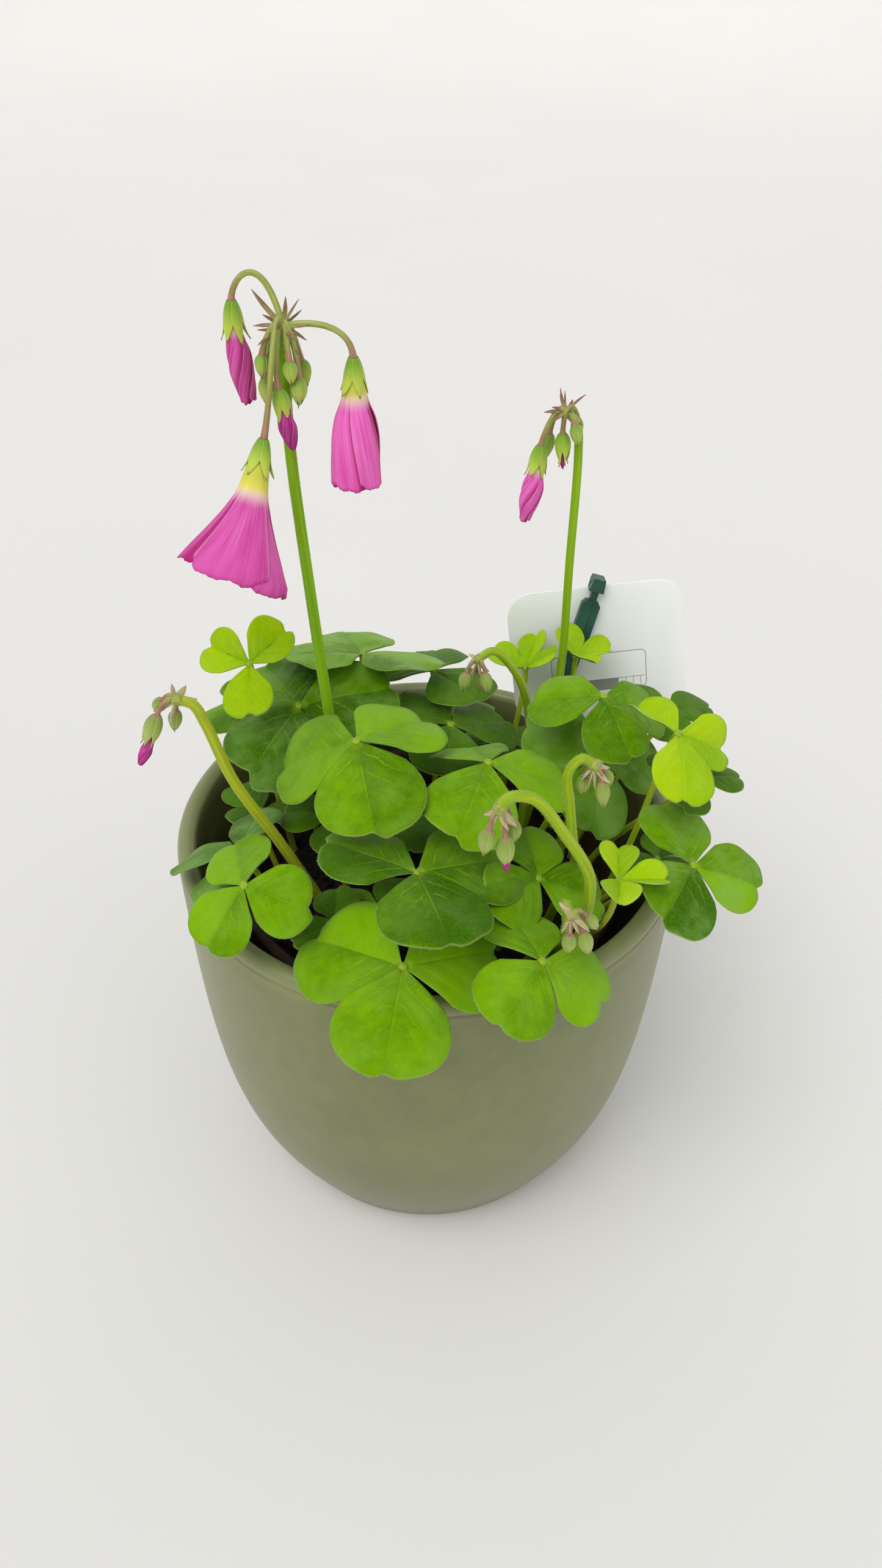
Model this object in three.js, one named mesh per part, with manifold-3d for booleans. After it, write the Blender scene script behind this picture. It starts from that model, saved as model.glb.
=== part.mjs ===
// A shamrock (Oxalis) with pink-purple flowers, in its nursery pot inside a sage green cover pot.
// Millimetres, +Z up. The origin is the middle of the cover pot's foot, and +Y points to the back.
import * as THREE from 'three';
import { mergeVertices } from 'three/addons/utils/BufferGeometryUtils.js';
import Module from 'manifold-3d';

const wasm = await Module();
wasm.setup();

// --- driving dimensions -------------------------------------------------------------------
const gap = 0.3; // clearance between neighbouring solids

const coverHeight = 127;
const coverRadius = 72.5;
const coverFoot = 46; // radius of the flat foot
const coverWall = 5.4;
const coverFloor = 6;
const coverSides = 40;

const nurseryRadius = 57.5; // at the rim
const nurseryTop = 110;
const nurseryFoot = 41;
const nurseryWall = 1.4;
const nurserySides = 30;

const soilTop = 98;
const soilRise = 3; // the soil is this much higher in the middle
const rootDepth = 8; // how deep each stalk stands in its hole

const cardSize = [54, 43, 0.8];
const cardCorner = 8;
const cardAt = [49.6, 53, 173.7]; // middle of its top edge
const cardLean = 11.5; // degrees, the top away from the front
const cardRoll = 7; // degrees, the right end up
const stakeTilt = 15; // degrees, the head to the right
const stakeLength = 88;

const bladeThickness = 0.8;
const leafStalk = 1.2; // radii of the stalks
const flowerStalk = 1.5;
const pedicel = 0.65;
const up = new THREE.Vector3(0, 0, 1);

// --- materials ----------------------------------------------------------------------------
function surface(color, roughness) {
  return new THREE.MeshStandardMaterial({ color, roughness, metalness: 0 });
}
const glaze = surface('#7f8363', 0.35);
const terracotta = surface('#8a5a44', 0.7);
const peat = surface('#2a2019', 0.95);
const whitePlastic = surface('#eef2ea', 0.4);
const greenPlastic = surface('#234d42', 0.4);
const matureLeaf = surface('#5f9a22', 0.5);
const youngLeaf = surface('#a3c92f', 0.5);
const shadeLeaf = surface('#47742a', 0.55);
const stemGreen = surface('#8fae4c', 0.6);
const petalPink = surface('#d45cb4', 0.5);
const budPink = surface('#b9388f', 0.5);

// --- solids -------------------------------------------------------------------------------
const part = new THREE.Group();

// Turns a closed geometry into a solid, for joining and cutting.
function toSolid(geometry) {
  const bare = geometry.index ? geometry.clone() : geometry;
  for (const name of Object.keys(bare.attributes)) if (name !== 'position') bare.deleteAttribute(name);
  const merged = mergeVertices(bare, 1e-4);
  return new wasm.Manifold(new wasm.Mesh({
    numProp: 3,
    vertProperties: new Float32Array(merged.attributes.position.array),
    triVerts: new Uint32Array(merged.index.array),
  }));
}

// The largest body that the solids make together, with slivers taken out.
function fuse(solids) {
  const joined = wasm.Manifold.union(solids).simplify(0.02);
  return joined.decompose().sort((a, b) => b.volume() - a.volume())[0];
}

function toGeometry(solid) {
  const { vertProperties, triVerts } = solid.getMesh();
  const geometry = new THREE.BufferGeometry();
  geometry.setAttribute('position', new THREE.BufferAttribute(new Float32Array(vertProperties), 3));
  geometry.setIndex(new THREE.BufferAttribute(new Uint32Array(triVerts), 1));
  geometry.computeVertexNormals();
  return geometry;
}

function addPiece(name, geometry, material, parent = part) {
  const mesh = new THREE.Mesh(geometry, material);
  mesh.name = name;
  parent.add(mesh);
  return mesh;
}

// A closed lathe about the Z axis, from [radius, height] points.
function turned(profile, sides) {
  const points = profile.map(([radius, height]) => new THREE.Vector2(radius, height));
  return new THREE.LatheGeometry(points, sides).rotateX(Math.PI / 2);
}

// A round stalk along a curve.
function tube(curve, radius, sides, steps) {
  const section = new THREE.Shape();
  for (let i = 0; i < sides; i++) {
    const turn = (2 * Math.PI * i) / sides;
    const point = [radius * Math.cos(turn), radius * Math.sin(turn)];
    if (i === 0) section.moveTo(...point);
    else section.lineTo(...point);
  }
  return new THREE.ExtrudeGeometry(section, { steps, extrudePath: curve, bevelEnabled: false, curveSegments: 1 });
}

// --- cover pot ----------------------------------------------------------------------------
// The outside swells quickly from the foot, then runs almost straight to the rim.
function coverOutside() {
  const swell = new THREE.CubicBezierCurve(
    new THREE.Vector2(50.5, 0),
    new THREE.Vector2(64.6, 29.9),
    new THREE.Vector2(71.3, 33.6),
    new THREE.Vector2(coverRadius, coverHeight - 2.6),
  );
  return [0.06, 0.18, 0.32, 0.48, 0.7, 0.97].map((t) => swell.getPoint(t).toArray());
}

function coverPot() {
  const outside = coverOutside();
  const inside = outside.slice(1).reverse().map(([radius, height]) => [radius - coverWall, height + 1]);
  const lip = coverWall / 2;
  const profile = [
    [0, 0], [coverFoot, 0], [49.6, 1.1],
    ...outside,
    [coverRadius, coverHeight - 4.4], [coverRadius - 0.5, coverHeight - 4], [coverRadius, coverHeight - 3.6],
    [coverRadius - 0.7, coverHeight - 0.8],
    [coverRadius - lip, coverHeight],
    [coverRadius - coverWall + 0.7, coverHeight - 0.8],
    ...inside,
    [coverFoot, coverFloor], [0, coverFloor],
  ];
  addPiece('cover_pot', turned(profile, coverSides), glaze);
}

// --- nursery pot and soil -----------------------------------------------------------------
// Inner radius of the nursery pot at a height.
function nurseryInside(height) {
  const share = (height - coverFloor) / (nurseryTop - coverFloor);
  return nurseryFoot + (nurseryRadius - 3.4 - nurseryFoot) * share;
}

function nurseryPot() {
  const base = coverFloor + gap;
  const brim = nurseryInside(nurseryTop);
  const collar = nurseryTop - 12;
  const profile = [
    [0, base], [nurseryFoot + nurseryWall, base],
    [nurseryInside(collar) + nurseryWall, collar],
    [nurseryRadius - 0.6, collar], [nurseryRadius, nurseryTop],
    [brim, nurseryTop],
    [nurseryInside(base + nurseryWall), base + nurseryWall], [0, base + nurseryWall],
  ];
  addPiece('nursery_pot', turned(profile, nurserySides), terracotta);
}

function soilBlock() {
  const base = coverFloor + 2 * gap + nurseryWall;
  const profile = [
    [0, base], [nurseryInside(base) - gap, base],
    [nurseryInside(soilTop) - gap, soilTop], [0, soilTop + soilRise],
  ];
  return toSolid(turned(profile, nurserySides));
}

// --- leaves -------------------------------------------------------------------------------
// Each leaf has a hub, three leaflets whose tips point along [azimuth, rise] in degrees, the leaflets'
// length, how far they fold along the midrib in degrees, and where its stalk leaves the soil.
const leaves = [
  { name: 'leaf_front_low', hub: [-6, -73, 142], size: 26, tips: [[-99, -19], [147, -12], [33, -20]],
    fold: 6, root: [-6, -40], tilt: 24 },
  { name: 'leaf_front_right', hub: [27, -71, 142], size: 20, tips: [[-124, -12], [-2, -41], [111, -7]],
    fold: 6, root: [17, -42], tilt: 16 },
  { name: 'leaf_front_mid', hub: [-3, -51, 154], size: 26, tips: [[-74, 13], [157, -3], [27, -14]],
    fold: 6, root: [6, -28], tilt: 12 },
  { name: 'leaf_left_rim', hub: [-45, -54, 150], size: 18, tips: [[105, -5], [-18, -10], [-131, -40]],
    fold: 6, root: [-28, -36], tilt: 15 },
  { name: 'leaf_left_under', hub: [-50, -31, 141], size: 18, tips: [[157, -30, 15], [80, -5], [-112, -10]],
    fold: 8, root: [-38, -22], shade: true },
  { name: 'leaf_centre_left', hub: [-18.5, -23, 171], size: 26, tips: [[-77, -23], [158, -33], [47, -14]],
    fold: 6, root: [-9, -20], tilt: 14 },
  { name: 'leaf_centre', hub: [15, -25, 166], size: 25, tips: [[-111, -11], [10, -26], [105, -27]],
    fold: 6, root: [14, -20], room: 44, tilt: 15 },
  { name: 'leaf_right_mid', hub: [28, -43, 142.5], size: 17, tips: [[100, 2], [3, -22], [-132, 12]],
    fold: 8, root: [20, -26], tilt: 14 },
  { name: 'leaf_right_rim', hub: [66, -46, 150], size: 20, tips: [[106, 14], [1, -24], [-111, -3]],
    fold: 6, root: [42, -22], tilt: 8 },
  { name: 'leaf_right_young', hub: [46, -55, 154], size: 12, tips: [[85, 3], [-7, 6], [-98, 13]],
    fold: 28, root: [30, -22], lean: [48, -39], room: 40, young: true },
  { name: 'leaf_right_bright', hub: [62, -27, 178], size: 17, tips: [[135, 0, 30], [16, -30], [-88, -30]],
    fold: 18, root: [43, -12], lean: [61, -17], room: 46, tilt: 20, young: true },
  { name: 'leaf_right_top', hub: [46, -5, 173], size: 20, tips: [[167, -14], [-70, -22], [12, -22]],
    fold: 6, root: [40, 9], lean: [46, 28], neck: 6, tilt: 14 },
  { name: 'leaf_right_dark', hub: [46, -6, 154], size: 22, tips: [[-95, -46], [155, 10], [20, -24]],
    fold: 6, root: [24, -8], shade: true },
  { name: 'leaf_left_young', hub: [-48.5, 5, 176], size: 13, tips: [[-90, -51], [150, 5], [29, 31]],
    fold: 16, root: [-41, 17], lean: [-49.5, 17], neck: 7, room: 46, young: true },
  { name: 'leaf_left_back', hub: [-37, 11, 158], size: 28, tips: [[-117, -16], [117, -5], [15, 3]],
    fold: 4, root: [-28, 10], tilt: 8 },
  { name: 'leaf_back_left', hub: [-20, 34, 161], size: 26, tips: [[-155, 12], [106, -16], [-35, 10]],
    fold: 6, root: [-22, 26], lean: [-28, 33] },
  { name: 'leaf_back_mid', hub: [1, 33, 156], size: 21, tips: [[88, -15], [-50, 0], [147, -15]],
    fold: 6, root: [2, 30], shade: true },
  { name: 'leaf_middle', hub: [6, 11, 152], size: 22, tips: [[134, -2], [35, -20], [-95, -10]],
    fold: 6, root: [8, 8], shade: true },
  { name: 'leaf_back_young', hub: [29, 38, 154], size: 12, tips: [[160, 20], [65, 35], [-14, 38]],
    fold: 22, root: [23, 35], neck: 8, young: true },
  { name: 'leaf_behind_mid', hub: [22, 23, 137], size: 13, tips: [[26, -5], [146, -5], [-94, 0]],
    fold: 6, root: [20, 19], shade: true },
  { name: 'leaf_card_young', hub: [44, 38, 158], size: 11, tips: [[120, 30], [0, 15], [-60, 20]],
    fold: 28, root: [38, 28], lean: [45, 34], neck: 8, young: true },
  { name: 'leaf_low_left', hub: [-50, 8, 122], size: 14, tips: [[-114, 15], [-10, 2], [130, 5]],
    fold: 10, root: [-44, 2], shade: true },
  { name: 'leaf_under_left', hub: [-25, -15, 140], size: 16, tips: [[170, -5], [40, 0], [-85, -5]],
    fold: 6, root: [-24, -12], shade: true },
  { name: 'leaf_under_front', hub: [-12, -44, 131], size: 15, tips: [[165, -5], [60, 0], [-120, -5]],
    fold: 6, root: [-14, -36], shade: true },
  { name: 'leaf_rim_front', hub: [-24, -50, 134], size: 12, tips: [[-150, -10], [-30, 0], [90, 0]],
    fold: 6, root: [-22, -42], shade: true },
  { name: 'leaf_under_centre', hub: [3, -12, 140], size: 18, tips: [[-117, -6], [0, 3], [135, -20]],
    fold: 6, root: [0, -8], room: 38, shade: true },
  { name: 'leaf_under_right', hub: [69, -21, 159], size: 14, tips: [[10, -12], [124, -5], [-110, -5]],
    fold: 6, root: [45, 2], room: 44, shade: true },
  { name: 'leaf_low_right', hub: [62, -26, 134], size: 12, tips: [[-171, -5], [-51, 5], [69, 0]],
    fold: 6, root: [43, -15], lean: [45, -15], neck: 6, shade: true },
  { name: 'leaf_behind_right', hub: [69, 18, 153], size: 15, tips: [[150, 5], [20, -10], [-90, -5]],
    fold: 6, root: [44, 14], shade: true },
  { name: 'leaf_far_left', hub: [-50, 28, 148], size: 19, tips: [[125, -8], [-155, -10], [20, 0]],
    fold: 6, root: [-36, 26] },
  { name: 'leaf_back_low_left', hub: [-30, 52, 131], size: 15, tips: [[100, 0], [-20, 5], [-140, 0]],
    fold: 6, root: [-26, 38], shade: true },
  { name: 'leaf_back_low_mid', hub: [8, 57, 129], size: 16, tips: [[70, -5], [-50, 5], [-170, 0]],
    fold: 6, root: [10, 42], shade: true },
  { name: 'leaf_back_low_right', hub: [57, 29, 129], size: 11, tips: [[0, 0], [120, 0], [-120, 0]],
    fold: 6, root: [40, 22], lean: [42, 20], neck: 5, shade: true },
];

// Distance of the leaflet's edge from its hub, as a share of its length, at an angle off the midrib.
// It is heart shaped: a narrow base, round shoulders and a shallow notch at the tip. The angle is a
// share of the widest one that its neighbours leave it.
const notch = 0.07;
function leafletEdge(share) {
  const shoulder = (1 - Math.abs(0.85 * share) ** 3) ** 0.7;
  return (shoulder * (1 - notch * Math.exp(-((share / 0.12) ** 2)))) / (1 - notch);
}

// Height of the leaflet's surface over its flat plane, for lengths along and across the midrib.
function leafletHeight(along, across, size, fold) {
  const valley = across * Math.tan(THREE.MathUtils.degToRad(fold));
  const margin = (0.35 * across ** 2) / size;
  const arch = 0.12 * along * (1 - along / size);
  return valley - margin + arch;
}

function direction([azimuth, rise]) {
  const turn = THREE.MathUtils.degToRad(azimuth);
  const lift = THREE.MathUtils.degToRad(rise);
  return new THREE.Vector3(Math.cos(turn) * Math.cos(lift), Math.sin(turn) * Math.cos(lift), Math.sin(lift));
}

// The upward normal of the plane through the three leaflet tips, turned to the front by the leaf's tilt.
function leafNormal({ tips, tilt = 0 }) {
  const [a, b, c] = tips.map(direction);
  const normal = b.clone().sub(a).cross(c.clone().sub(a)).normalize();
  if (normal.z < 0) normal.negate();
  return normal.applyAxisAngle(new THREE.Vector3(1, 0, 0), THREE.MathUtils.degToRad(tilt));
}

// The leaflet's own axes, and the room for its base on each side: half the angle to the next leaflet,
// in degrees. A tip's third number rolls its leaflet about the midrib.
function leafletFrame({ tips, room: widest = 52 }, index, normal) {
  const along = direction(tips[index]);
  const lift = normal.clone().addScaledVector(along, -normal.dot(along)).normalize();
  const across = lift.clone().cross(along);
  const room = [widest, widest];
  tips.forEach((tip, other) => {
    if (other === index) return;
    const toward = direction(tip);
    const angle = THREE.MathUtils.radToDeg(Math.atan2(toward.dot(across), toward.dot(along)));
    const side = angle > 0 ? 1 : 0;
    room[side] = Math.min(room[side], Math.abs(angle) / 2 - 1.5);
  });
  const roll = THREE.MathUtils.degToRad(tips[index][2] ?? 0);
  lift.applyAxisAngle(along, roll);
  across.applyAxisAngle(along, roll);
  return { along, across, lift, room };
}

const leafletShares = [-1, -0.8, -0.54, -0.25, 0, 0.25, 0.54, 0.8, 1];

// A thin heart-shaped blade: two alike faces, split the same way, and a rim between them.
function leafletSolid(leaf, index, normal) {
  const { hub, size, fold } = leaf;
  const { along, across, lift, room } = leafletFrame(leaf, index, normal);
  const origin = new THREE.Vector3(...hub);
  const positions = [];
  for (const side of [1, -1]) {
    const half = (side * bladeThickness) / 2;
    positions.push(...origin.clone().addScaledVector(lift, half).toArray());
    for (const share of leafletShares) {
      const turn = THREE.MathUtils.degToRad(share * room[share > 0 ? 1 : 0]);
      const reach = size * leafletEdge(share);
      const x = reach * Math.cos(turn);
      const y = reach * Math.sin(turn);
      const z = leafletHeight(x, Math.abs(y), size, fold) + half;
      const point = origin.clone().addScaledVector(along, x).addScaledVector(across, y).addScaledVector(lift, z);
      positions.push(...point.toArray());
    }
    const rib = leafletHeight(0.45 * size, 0, size, fold) + half;
    positions.push(...origin.clone().addScaledVector(along, 0.45 * size).addScaledVector(lift, rib).toArray());
  }
  const rays = leafletShares.length;
  const below = 2 + rays;
  const middle = 1 + rays;
  const triangles = [];
  const quad = (a, b, c, d) => triangles.push(a, b, c, a, c, d);
  const bothFaces = (a, b, c) => triangles.push(a, b, c, below + a, below + c, below + b);
  bothFaces(0, 1, middle);
  bothFaces(0, middle, rays);
  for (let i = 1; i < rays; i++) {
    bothFaces(middle, i, i + 1);
    quad(i, below + i, below + i + 1, i + 1);
  }
  quad(0, below, below + 1, 1);
  quad(rays, below + rays, below, 0);
  const geometry = new THREE.BufferGeometry();
  geometry.setAttribute('position', new THREE.Float32BufferAttribute(positions, 3));
  geometry.setIndex(triangles);
  return toSolid(geometry);
}

// The stalk rises from its root and reaches the hub from below, square to the leaf.
function leafStalkCurve(leaf) {
  const { hub, root, lean = root, neck = 14 } = leaf;
  const normal = leafNormal(leaf);
  const top = new THREE.Vector3(...hub).addScaledVector(normal, 0.9);
  const foot = new THREE.Vector3(root[0], root[1], soilTop - rootDepth);
  const height = top.z - foot.z;
  const knee = new THREE.Vector3(lean[0], lean[1], foot.z + 0.45 * height);
  const below = top.clone().addScaledVector(normal, -neck);
  return new THREE.CubicBezierCurve3(foot, knee, below, top);
}

const holes = [];

// A hole in the soil along the first stretch of a stalk.
function drill(curve, radius, steps) {
  const [foot, end] = curve.getSpacedPoints(steps);
  const along = end.clone().sub(foot).normalize();
  const start = foot.clone().addScaledVector(along, -gap);
  const sides = 5;
  const wide = (radius + gap) / Math.cos(Math.PI / sides);
  holes.push(toSolid(tube(new THREE.LineCurve3(start, end.clone().addScaledVector(along, 4)), wide, sides, 1)));
}

function addLeaf(leaf) {
  const steps = 6;
  const curve = leafStalkCurve(leaf);
  const normal = leafNormal(leaf);
  const blades = leaf.tips.map((_, index) => leafletSolid(leaf, index, normal));
  const stalk = toSolid(tube(curve, leafStalk, 5, steps));
  drill(curve, leafStalk, steps);
  const material = leaf.young ? youngLeaf : leaf.shade ? shadeLeaf : matureLeaf;
  addPiece(leaf.name, toGeometry(fuse([stalk, ...blades])), material);
}

// --- flower stalks ------------------------------------------------------------------------
// Each stalk passes through its points to the node that its buds hang from, which is a small bead. A bud
// has the place where its own thin stalk joins it, the place of its tip, and its radius.
const stalks = [
  { name: 'scape_main', radius: 1.6, steps: 9,
    path: [[-20, 2, 90], [-23, 1, 125], [-27, 0, 160], [-30.6, 2, 200], [-33.4, 4, 240], [-33, 4, 265]],
    buds: [
      { top: [-44.5, 8, 269], tip: [-44.5, 8, 262], radius: 2.3, cup: true, arch: 1.05 },
      { top: [-17.5, 2, 259], tip: [-17.5, 2, 252], radius: 2.5, cup: true, arch: 0 },
      { top: [-38, -5, 242.7], tip: [-39.7, -7.2, 236.2], radius: 2.6, cup: true },
      { top: [-34.5, 0, 252.5], tip: [-33.6, 0, 246.3], radius: 1.9, cup: true },
      { top: [-38, 6, 253], tip: [-39, 6, 246], radius: 1.8 },
      { top: [-29, 3, 254], tip: [-28.5, 3, 247], radius: 1.9 },
      { top: [-34, 9, 252], tip: [-34, 9, 245], radius: 1.8 },
      { top: [-30, 9, 256], tip: [-29, 10, 250], radius: 1.6 },
    ] },
  { name: 'scape_right', radius: 1.3, steps: 11,
    path: [[28, 26, 90], [36, 30, 125], [39, 33, 157], [39, 34, 192], [39, 36, 224], [38, 36, 231], [35, 36, 234]],
    buds: [
      { top: [29, 36, 225], tip: [28.3, 36, 218], radius: 2.3, cup: true },
      { top: [34.5, 36, 228.5], tip: [35, 35, 220.5], radius: 2.1 },
      { top: [38.5, 40, 231], tip: [39, 41, 225], radius: 1.5 },
      { top: [31.5, 40, 227], tip: [31, 41, 219.5], radius: 1.6 },
    ] },
  { name: 'scape_left', radius: 1.5, steps: 14,
    path: [[-20, -20, 90], [-28, -27, 115], [-39, -32, 145], [-48.6, -34, 167], [-53.5, -34, 184],
      [-55.8, -34, 189.5], [-59.5, -34, 191]],
    buds: [
      { top: [-64, -36, 188], tip: [-67.2, -37, 180.2], radius: 2, cup: true },
      { top: [-61, -30, 185], tip: [-62.5, -29, 178.5], radius: 1.5 },
      { top: [-63.5, -31.5, 189], tip: [-66, -30, 185], radius: 1.3 },
    ] },
  { name: 'scape_back', radius: 1.3, steps: 13,
    path: [[26, 16, 90], [30, 18, 130], [28, 15, 156], [23, 11, 171], [17, 9, 178], [13, 8, 176]],
    buds: [
      { top: [10, 6, 173], tip: [9, 6, 167], radius: 1.5 },
      { top: [13, 10, 171], tip: [14, 11, 164], radius: 1.6 },
      { top: [15, 6, 173], tip: [16, 5, 167], radius: 1.5 },
    ] },
  { name: 'scape_centre', radius: 1.4, steps: 16,
    path: [[31, -34, 90], [33, -39, 112], [37, -53, 129], [38, -60, 146], [37, -64, 163], [30, -67, 178],
      [22, -69, 190], [17, -70, 191], [15, -70, 188]],
    buds: [
      { top: [13, -71, 183], tip: [12, -71, 176], radius: 1.7 },
      { top: [16.5, -71, 181], tip: [17, -71, 172.5], radius: 1.8 },
      { top: [18, -67, 182], tip: [19, -66, 175.5], radius: 1.7 },
    ] },
  { name: 'scape_hook', radius: 1.4, steps: 16,
    path: [[32, -16, 90], [37, -26, 122], [39, -32, 140], [36, -42, 154], [34, -43, 168], [33, -43, 177],
      [36, -43, 181], [39, -43, 179]],
    buds: [
      { top: [41, -44, 175], tip: [42, -45, 168], radius: 1.6 },
      { top: [37, -42, 175], tip: [37, -41, 169], radius: 1.5 },
      { top: [42, -40, 175], tip: [44, -39, 170], radius: 1.5 },
    ] },
  { name: 'scape_front', radius: 1.2, steps: 11,
    path: [[24, -32, 90], [29, -42, 115], [34, -56, 137], [32, -66, 156], [33, -69, 155]],
    buds: [
      { top: [33, -70, 150], tip: [33, -70, 144], radius: 1.6 },
      { top: [36, -69, 150], tip: [38, -70, 143.5], radius: 1.7 },
      { top: [37, -66, 152], tip: [40, -66, 148], radius: 1.4 },
    ] },
];

// A closed bud is a spindle; the cup under an open flower ends flat, where the petals leave it.
function budSolid({ top, tip, radius, cup }) {
  const start = new THREE.Vector3(...top);
  const axis = new THREE.Vector3(...tip).sub(start);
  const length = axis.length();
  const shape = cup
    ? [[0, 0], [0.75, 0.3], [1, 0.85], [0.8, 1], [0, 1]]
    : [[0, 0], [0.7, 0.12], [1, 0.45], [0, 1]];
  const geometry = turned(shape.map(([wide, far]) => [wide * radius, far * length]), 5);
  geometry.applyQuaternion(new THREE.Quaternion().setFromUnitVectors(up, axis.normalize()));
  return toSolid(geometry.translate(...top));
}

// The thin stalk arches from the node and comes down into the bud along its axis.
function pedicelSolid(node, { top, tip, arch = 0.35 }) {
  const end = new THREE.Vector3(...top);
  const axis = new THREE.Vector3(...tip).sub(end).normalize();
  const reach = node.distanceTo(end);
  const out = new THREE.Vector3(end.x - node.x, end.y - node.y, 0).multiplyScalar(0.3);
  const leave = node.clone().add(out).addScaledVector(up, arch * reach);
  const arrive = end.clone().addScaledVector(axis, -0.4 * reach);
  const curve = new THREE.CubicBezierCurve3(node, leave, arrive, end.clone().addScaledVector(axis, 0.6));
  return toSolid(tube(curve, pedicel, 4, 4));
}

function addStalk({ name, radius, steps, path, buds }) {
  const curve = new THREE.CatmullRomCurve3(path.map((point) => new THREE.Vector3(...point)));
  const node = new THREE.Vector3(...path.at(-1));
  const bead = new THREE.IcosahedronGeometry(radius + 0.3, 0).translate(...path.at(-1));
  const solids = [toSolid(tube(curve, radius, 5, steps)), toSolid(bead)];
  for (const bud of buds) solids.push(pedicelSolid(node, bud), budSolid(bud));
  drill(curve, radius, steps);
  addPiece(name, toGeometry(fuse(solids)), stemGreen);
}

// --- petals -------------------------------------------------------------------------------
// Each flower starts just under its cup and runs toward a point. Its wall flares from the neck to the
// mouth, its edge has five lobes, and its petals twist round the axis.
const flowers = [
  { name: 'corolla_open', from: [-40, -7.6, 235.4], to: [-45.5, -17.5, 215.5], neck: 2.9, mouth: 12.8, flare: 1.5,
    twist: 10, rings: 4, material: petalPink },
  { name: 'corolla_right', from: [-17.5, 2, 251.3], to: [-18.5, 2, 229.5], neck: 2.5, mouth: 5.7, flare: 0.6,
    twist: 25, rings: 3, material: petalPink },
  { name: 'corolla_left', from: [-44.5, 8, 261.4], to: [-43, 8, 248], neck: 1.7, swell: 1.2,
    twist: 70, rings: 4, material: petalPink },
  { name: 'corolla_centre', from: [-33.5, 0, 245.7], to: [-32, 0, 238.5], neck: 1.3, swell: 0.8,
    twist: 50, rings: 3, material: budPink },
  { name: 'corolla_pink_bud', from: [28.2, 36, 217.4], to: [25.8, 36, 203.4], neck: 1.7, swell: 1.4,
    twist: 60, rings: 4, material: petalPink },
  { name: 'corolla_left_tip', from: [-67.5, -37.1, 179.5], to: [-69.5, -37.8, 175.2], neck: 1.1, swell: 0.7,
    twist: 40, rings: 2, material: budPink },
];

// An open flower is a thin funnel; a closed one is a solid spindle of wrapped petals.
function corollaSolid({ from, to, neck, mouth, swell, flare, twist, rings }) {
  const start = new THREE.Vector3(...from);
  const axis = new THREE.Vector3(...to).sub(start);
  const length = axis.length();
  const sides = swell ? 10 : 20;
  const wall = 0.7;
  const positions = [];
  const layers = swell ? [0] : [0, wall];
  for (const inset of layers) {
    for (let ring = 0; ring <= rings; ring++) {
      const far = ring / rings;
      for (let i = 0; i < sides; i++) {
        const turn = (2 * Math.PI * i) / sides;
        const lobe = Math.abs(Math.cos(2.5 * turn));
        const open = swell ? neck * (1 - far) ** 0.5 + swell * Math.sin(Math.PI * far ** 0.8) : 0;
        const wide = swell ? Math.max(open, 0.5) : neck + (mouth - neck) * far ** flare;
        const radius = wide * (1 + 0.1 * (lobe - 0.6) * far) - inset;
        const angle = turn + THREE.MathUtils.degToRad(twist) * far;
        const height = length * far * (swell ? 1 : 1 + 0.08 * (lobe - 0.6) * far);
        positions.push(radius * Math.cos(angle), radius * Math.sin(angle), height);
      }
    }
  }
  const triangles = [];
  const at = (layer, ring, i) => (layer * (rings + 1) + ring) * sides + (i % sides);
  for (let ring = 0; ring < rings; ring++) {
    for (let i = 0; i < sides; i++) {
      const [a, b, c, d] = [at(0, ring, i), at(0, ring, i + 1), at(0, ring + 1, i + 1), at(0, ring + 1, i)];
      triangles.push(a, b, c, a, c, d);
      if (!swell) {
        const deep = (rings + 1) * sides;
        triangles.push(a + deep, c + deep, b + deep, a + deep, d + deep, c + deep);
      }
    }
  }
  for (let i = 0; i < sides; i++) {
    if (swell) {
      if (i > 0 && i < sides - 1) triangles.push(at(0, 0, 0), at(0, 0, i + 1), at(0, 0, i));
      if (i > 0 && i < sides - 1) triangles.push(at(0, rings, 0), at(0, rings, i), at(0, rings, i + 1));
    } else {
      triangles.push(at(0, 0, i), at(1, 0, i), at(1, 0, i + 1), at(0, 0, i), at(1, 0, i + 1), at(0, 0, i + 1));
      triangles.push(at(0, rings, i), at(0, rings, i + 1), at(1, rings, i + 1));
      triangles.push(at(0, rings, i), at(1, rings, i + 1), at(1, rings, i));
    }
  }
  const geometry = new THREE.BufferGeometry();
  geometry.setAttribute('position', new THREE.Float32BufferAttribute(positions, 3));
  geometry.setIndex(triangles);
  geometry.applyQuaternion(new THREE.Quaternion().setFromUnitVectors(up, axis.normalize()));
  return toSolid(geometry.translate(...from));
}

// --- label --------------------------------------------------------------------------------
// A blank plastic card, held at its top edge by the clip of a stake that stands in the soil.
function cardGeometry() {
  const [width, height, thickness] = cardSize;
  const side = width / 2 - cardCorner;
  const shape = new THREE.Shape();
  shape.absarc(side, -cardCorner, cardCorner, 0, Math.PI / 2);
  shape.absarc(-side, -cardCorner, cardCorner, Math.PI / 2, Math.PI);
  shape.absarc(-side, cardCorner - height, cardCorner, Math.PI, 1.5 * Math.PI);
  shape.absarc(side, cardCorner - height, cardCorner, 1.5 * Math.PI, 2 * Math.PI);
  const card = new THREE.ExtrudeGeometry(shape, { depth: thickness, bevelEnabled: false, curveSegments: 4 });
  return card.rotateZ(THREE.MathUtils.degToRad(cardRoll)).rotateX(Math.PI / 2).translate(0, thickness, 0);
}

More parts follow.
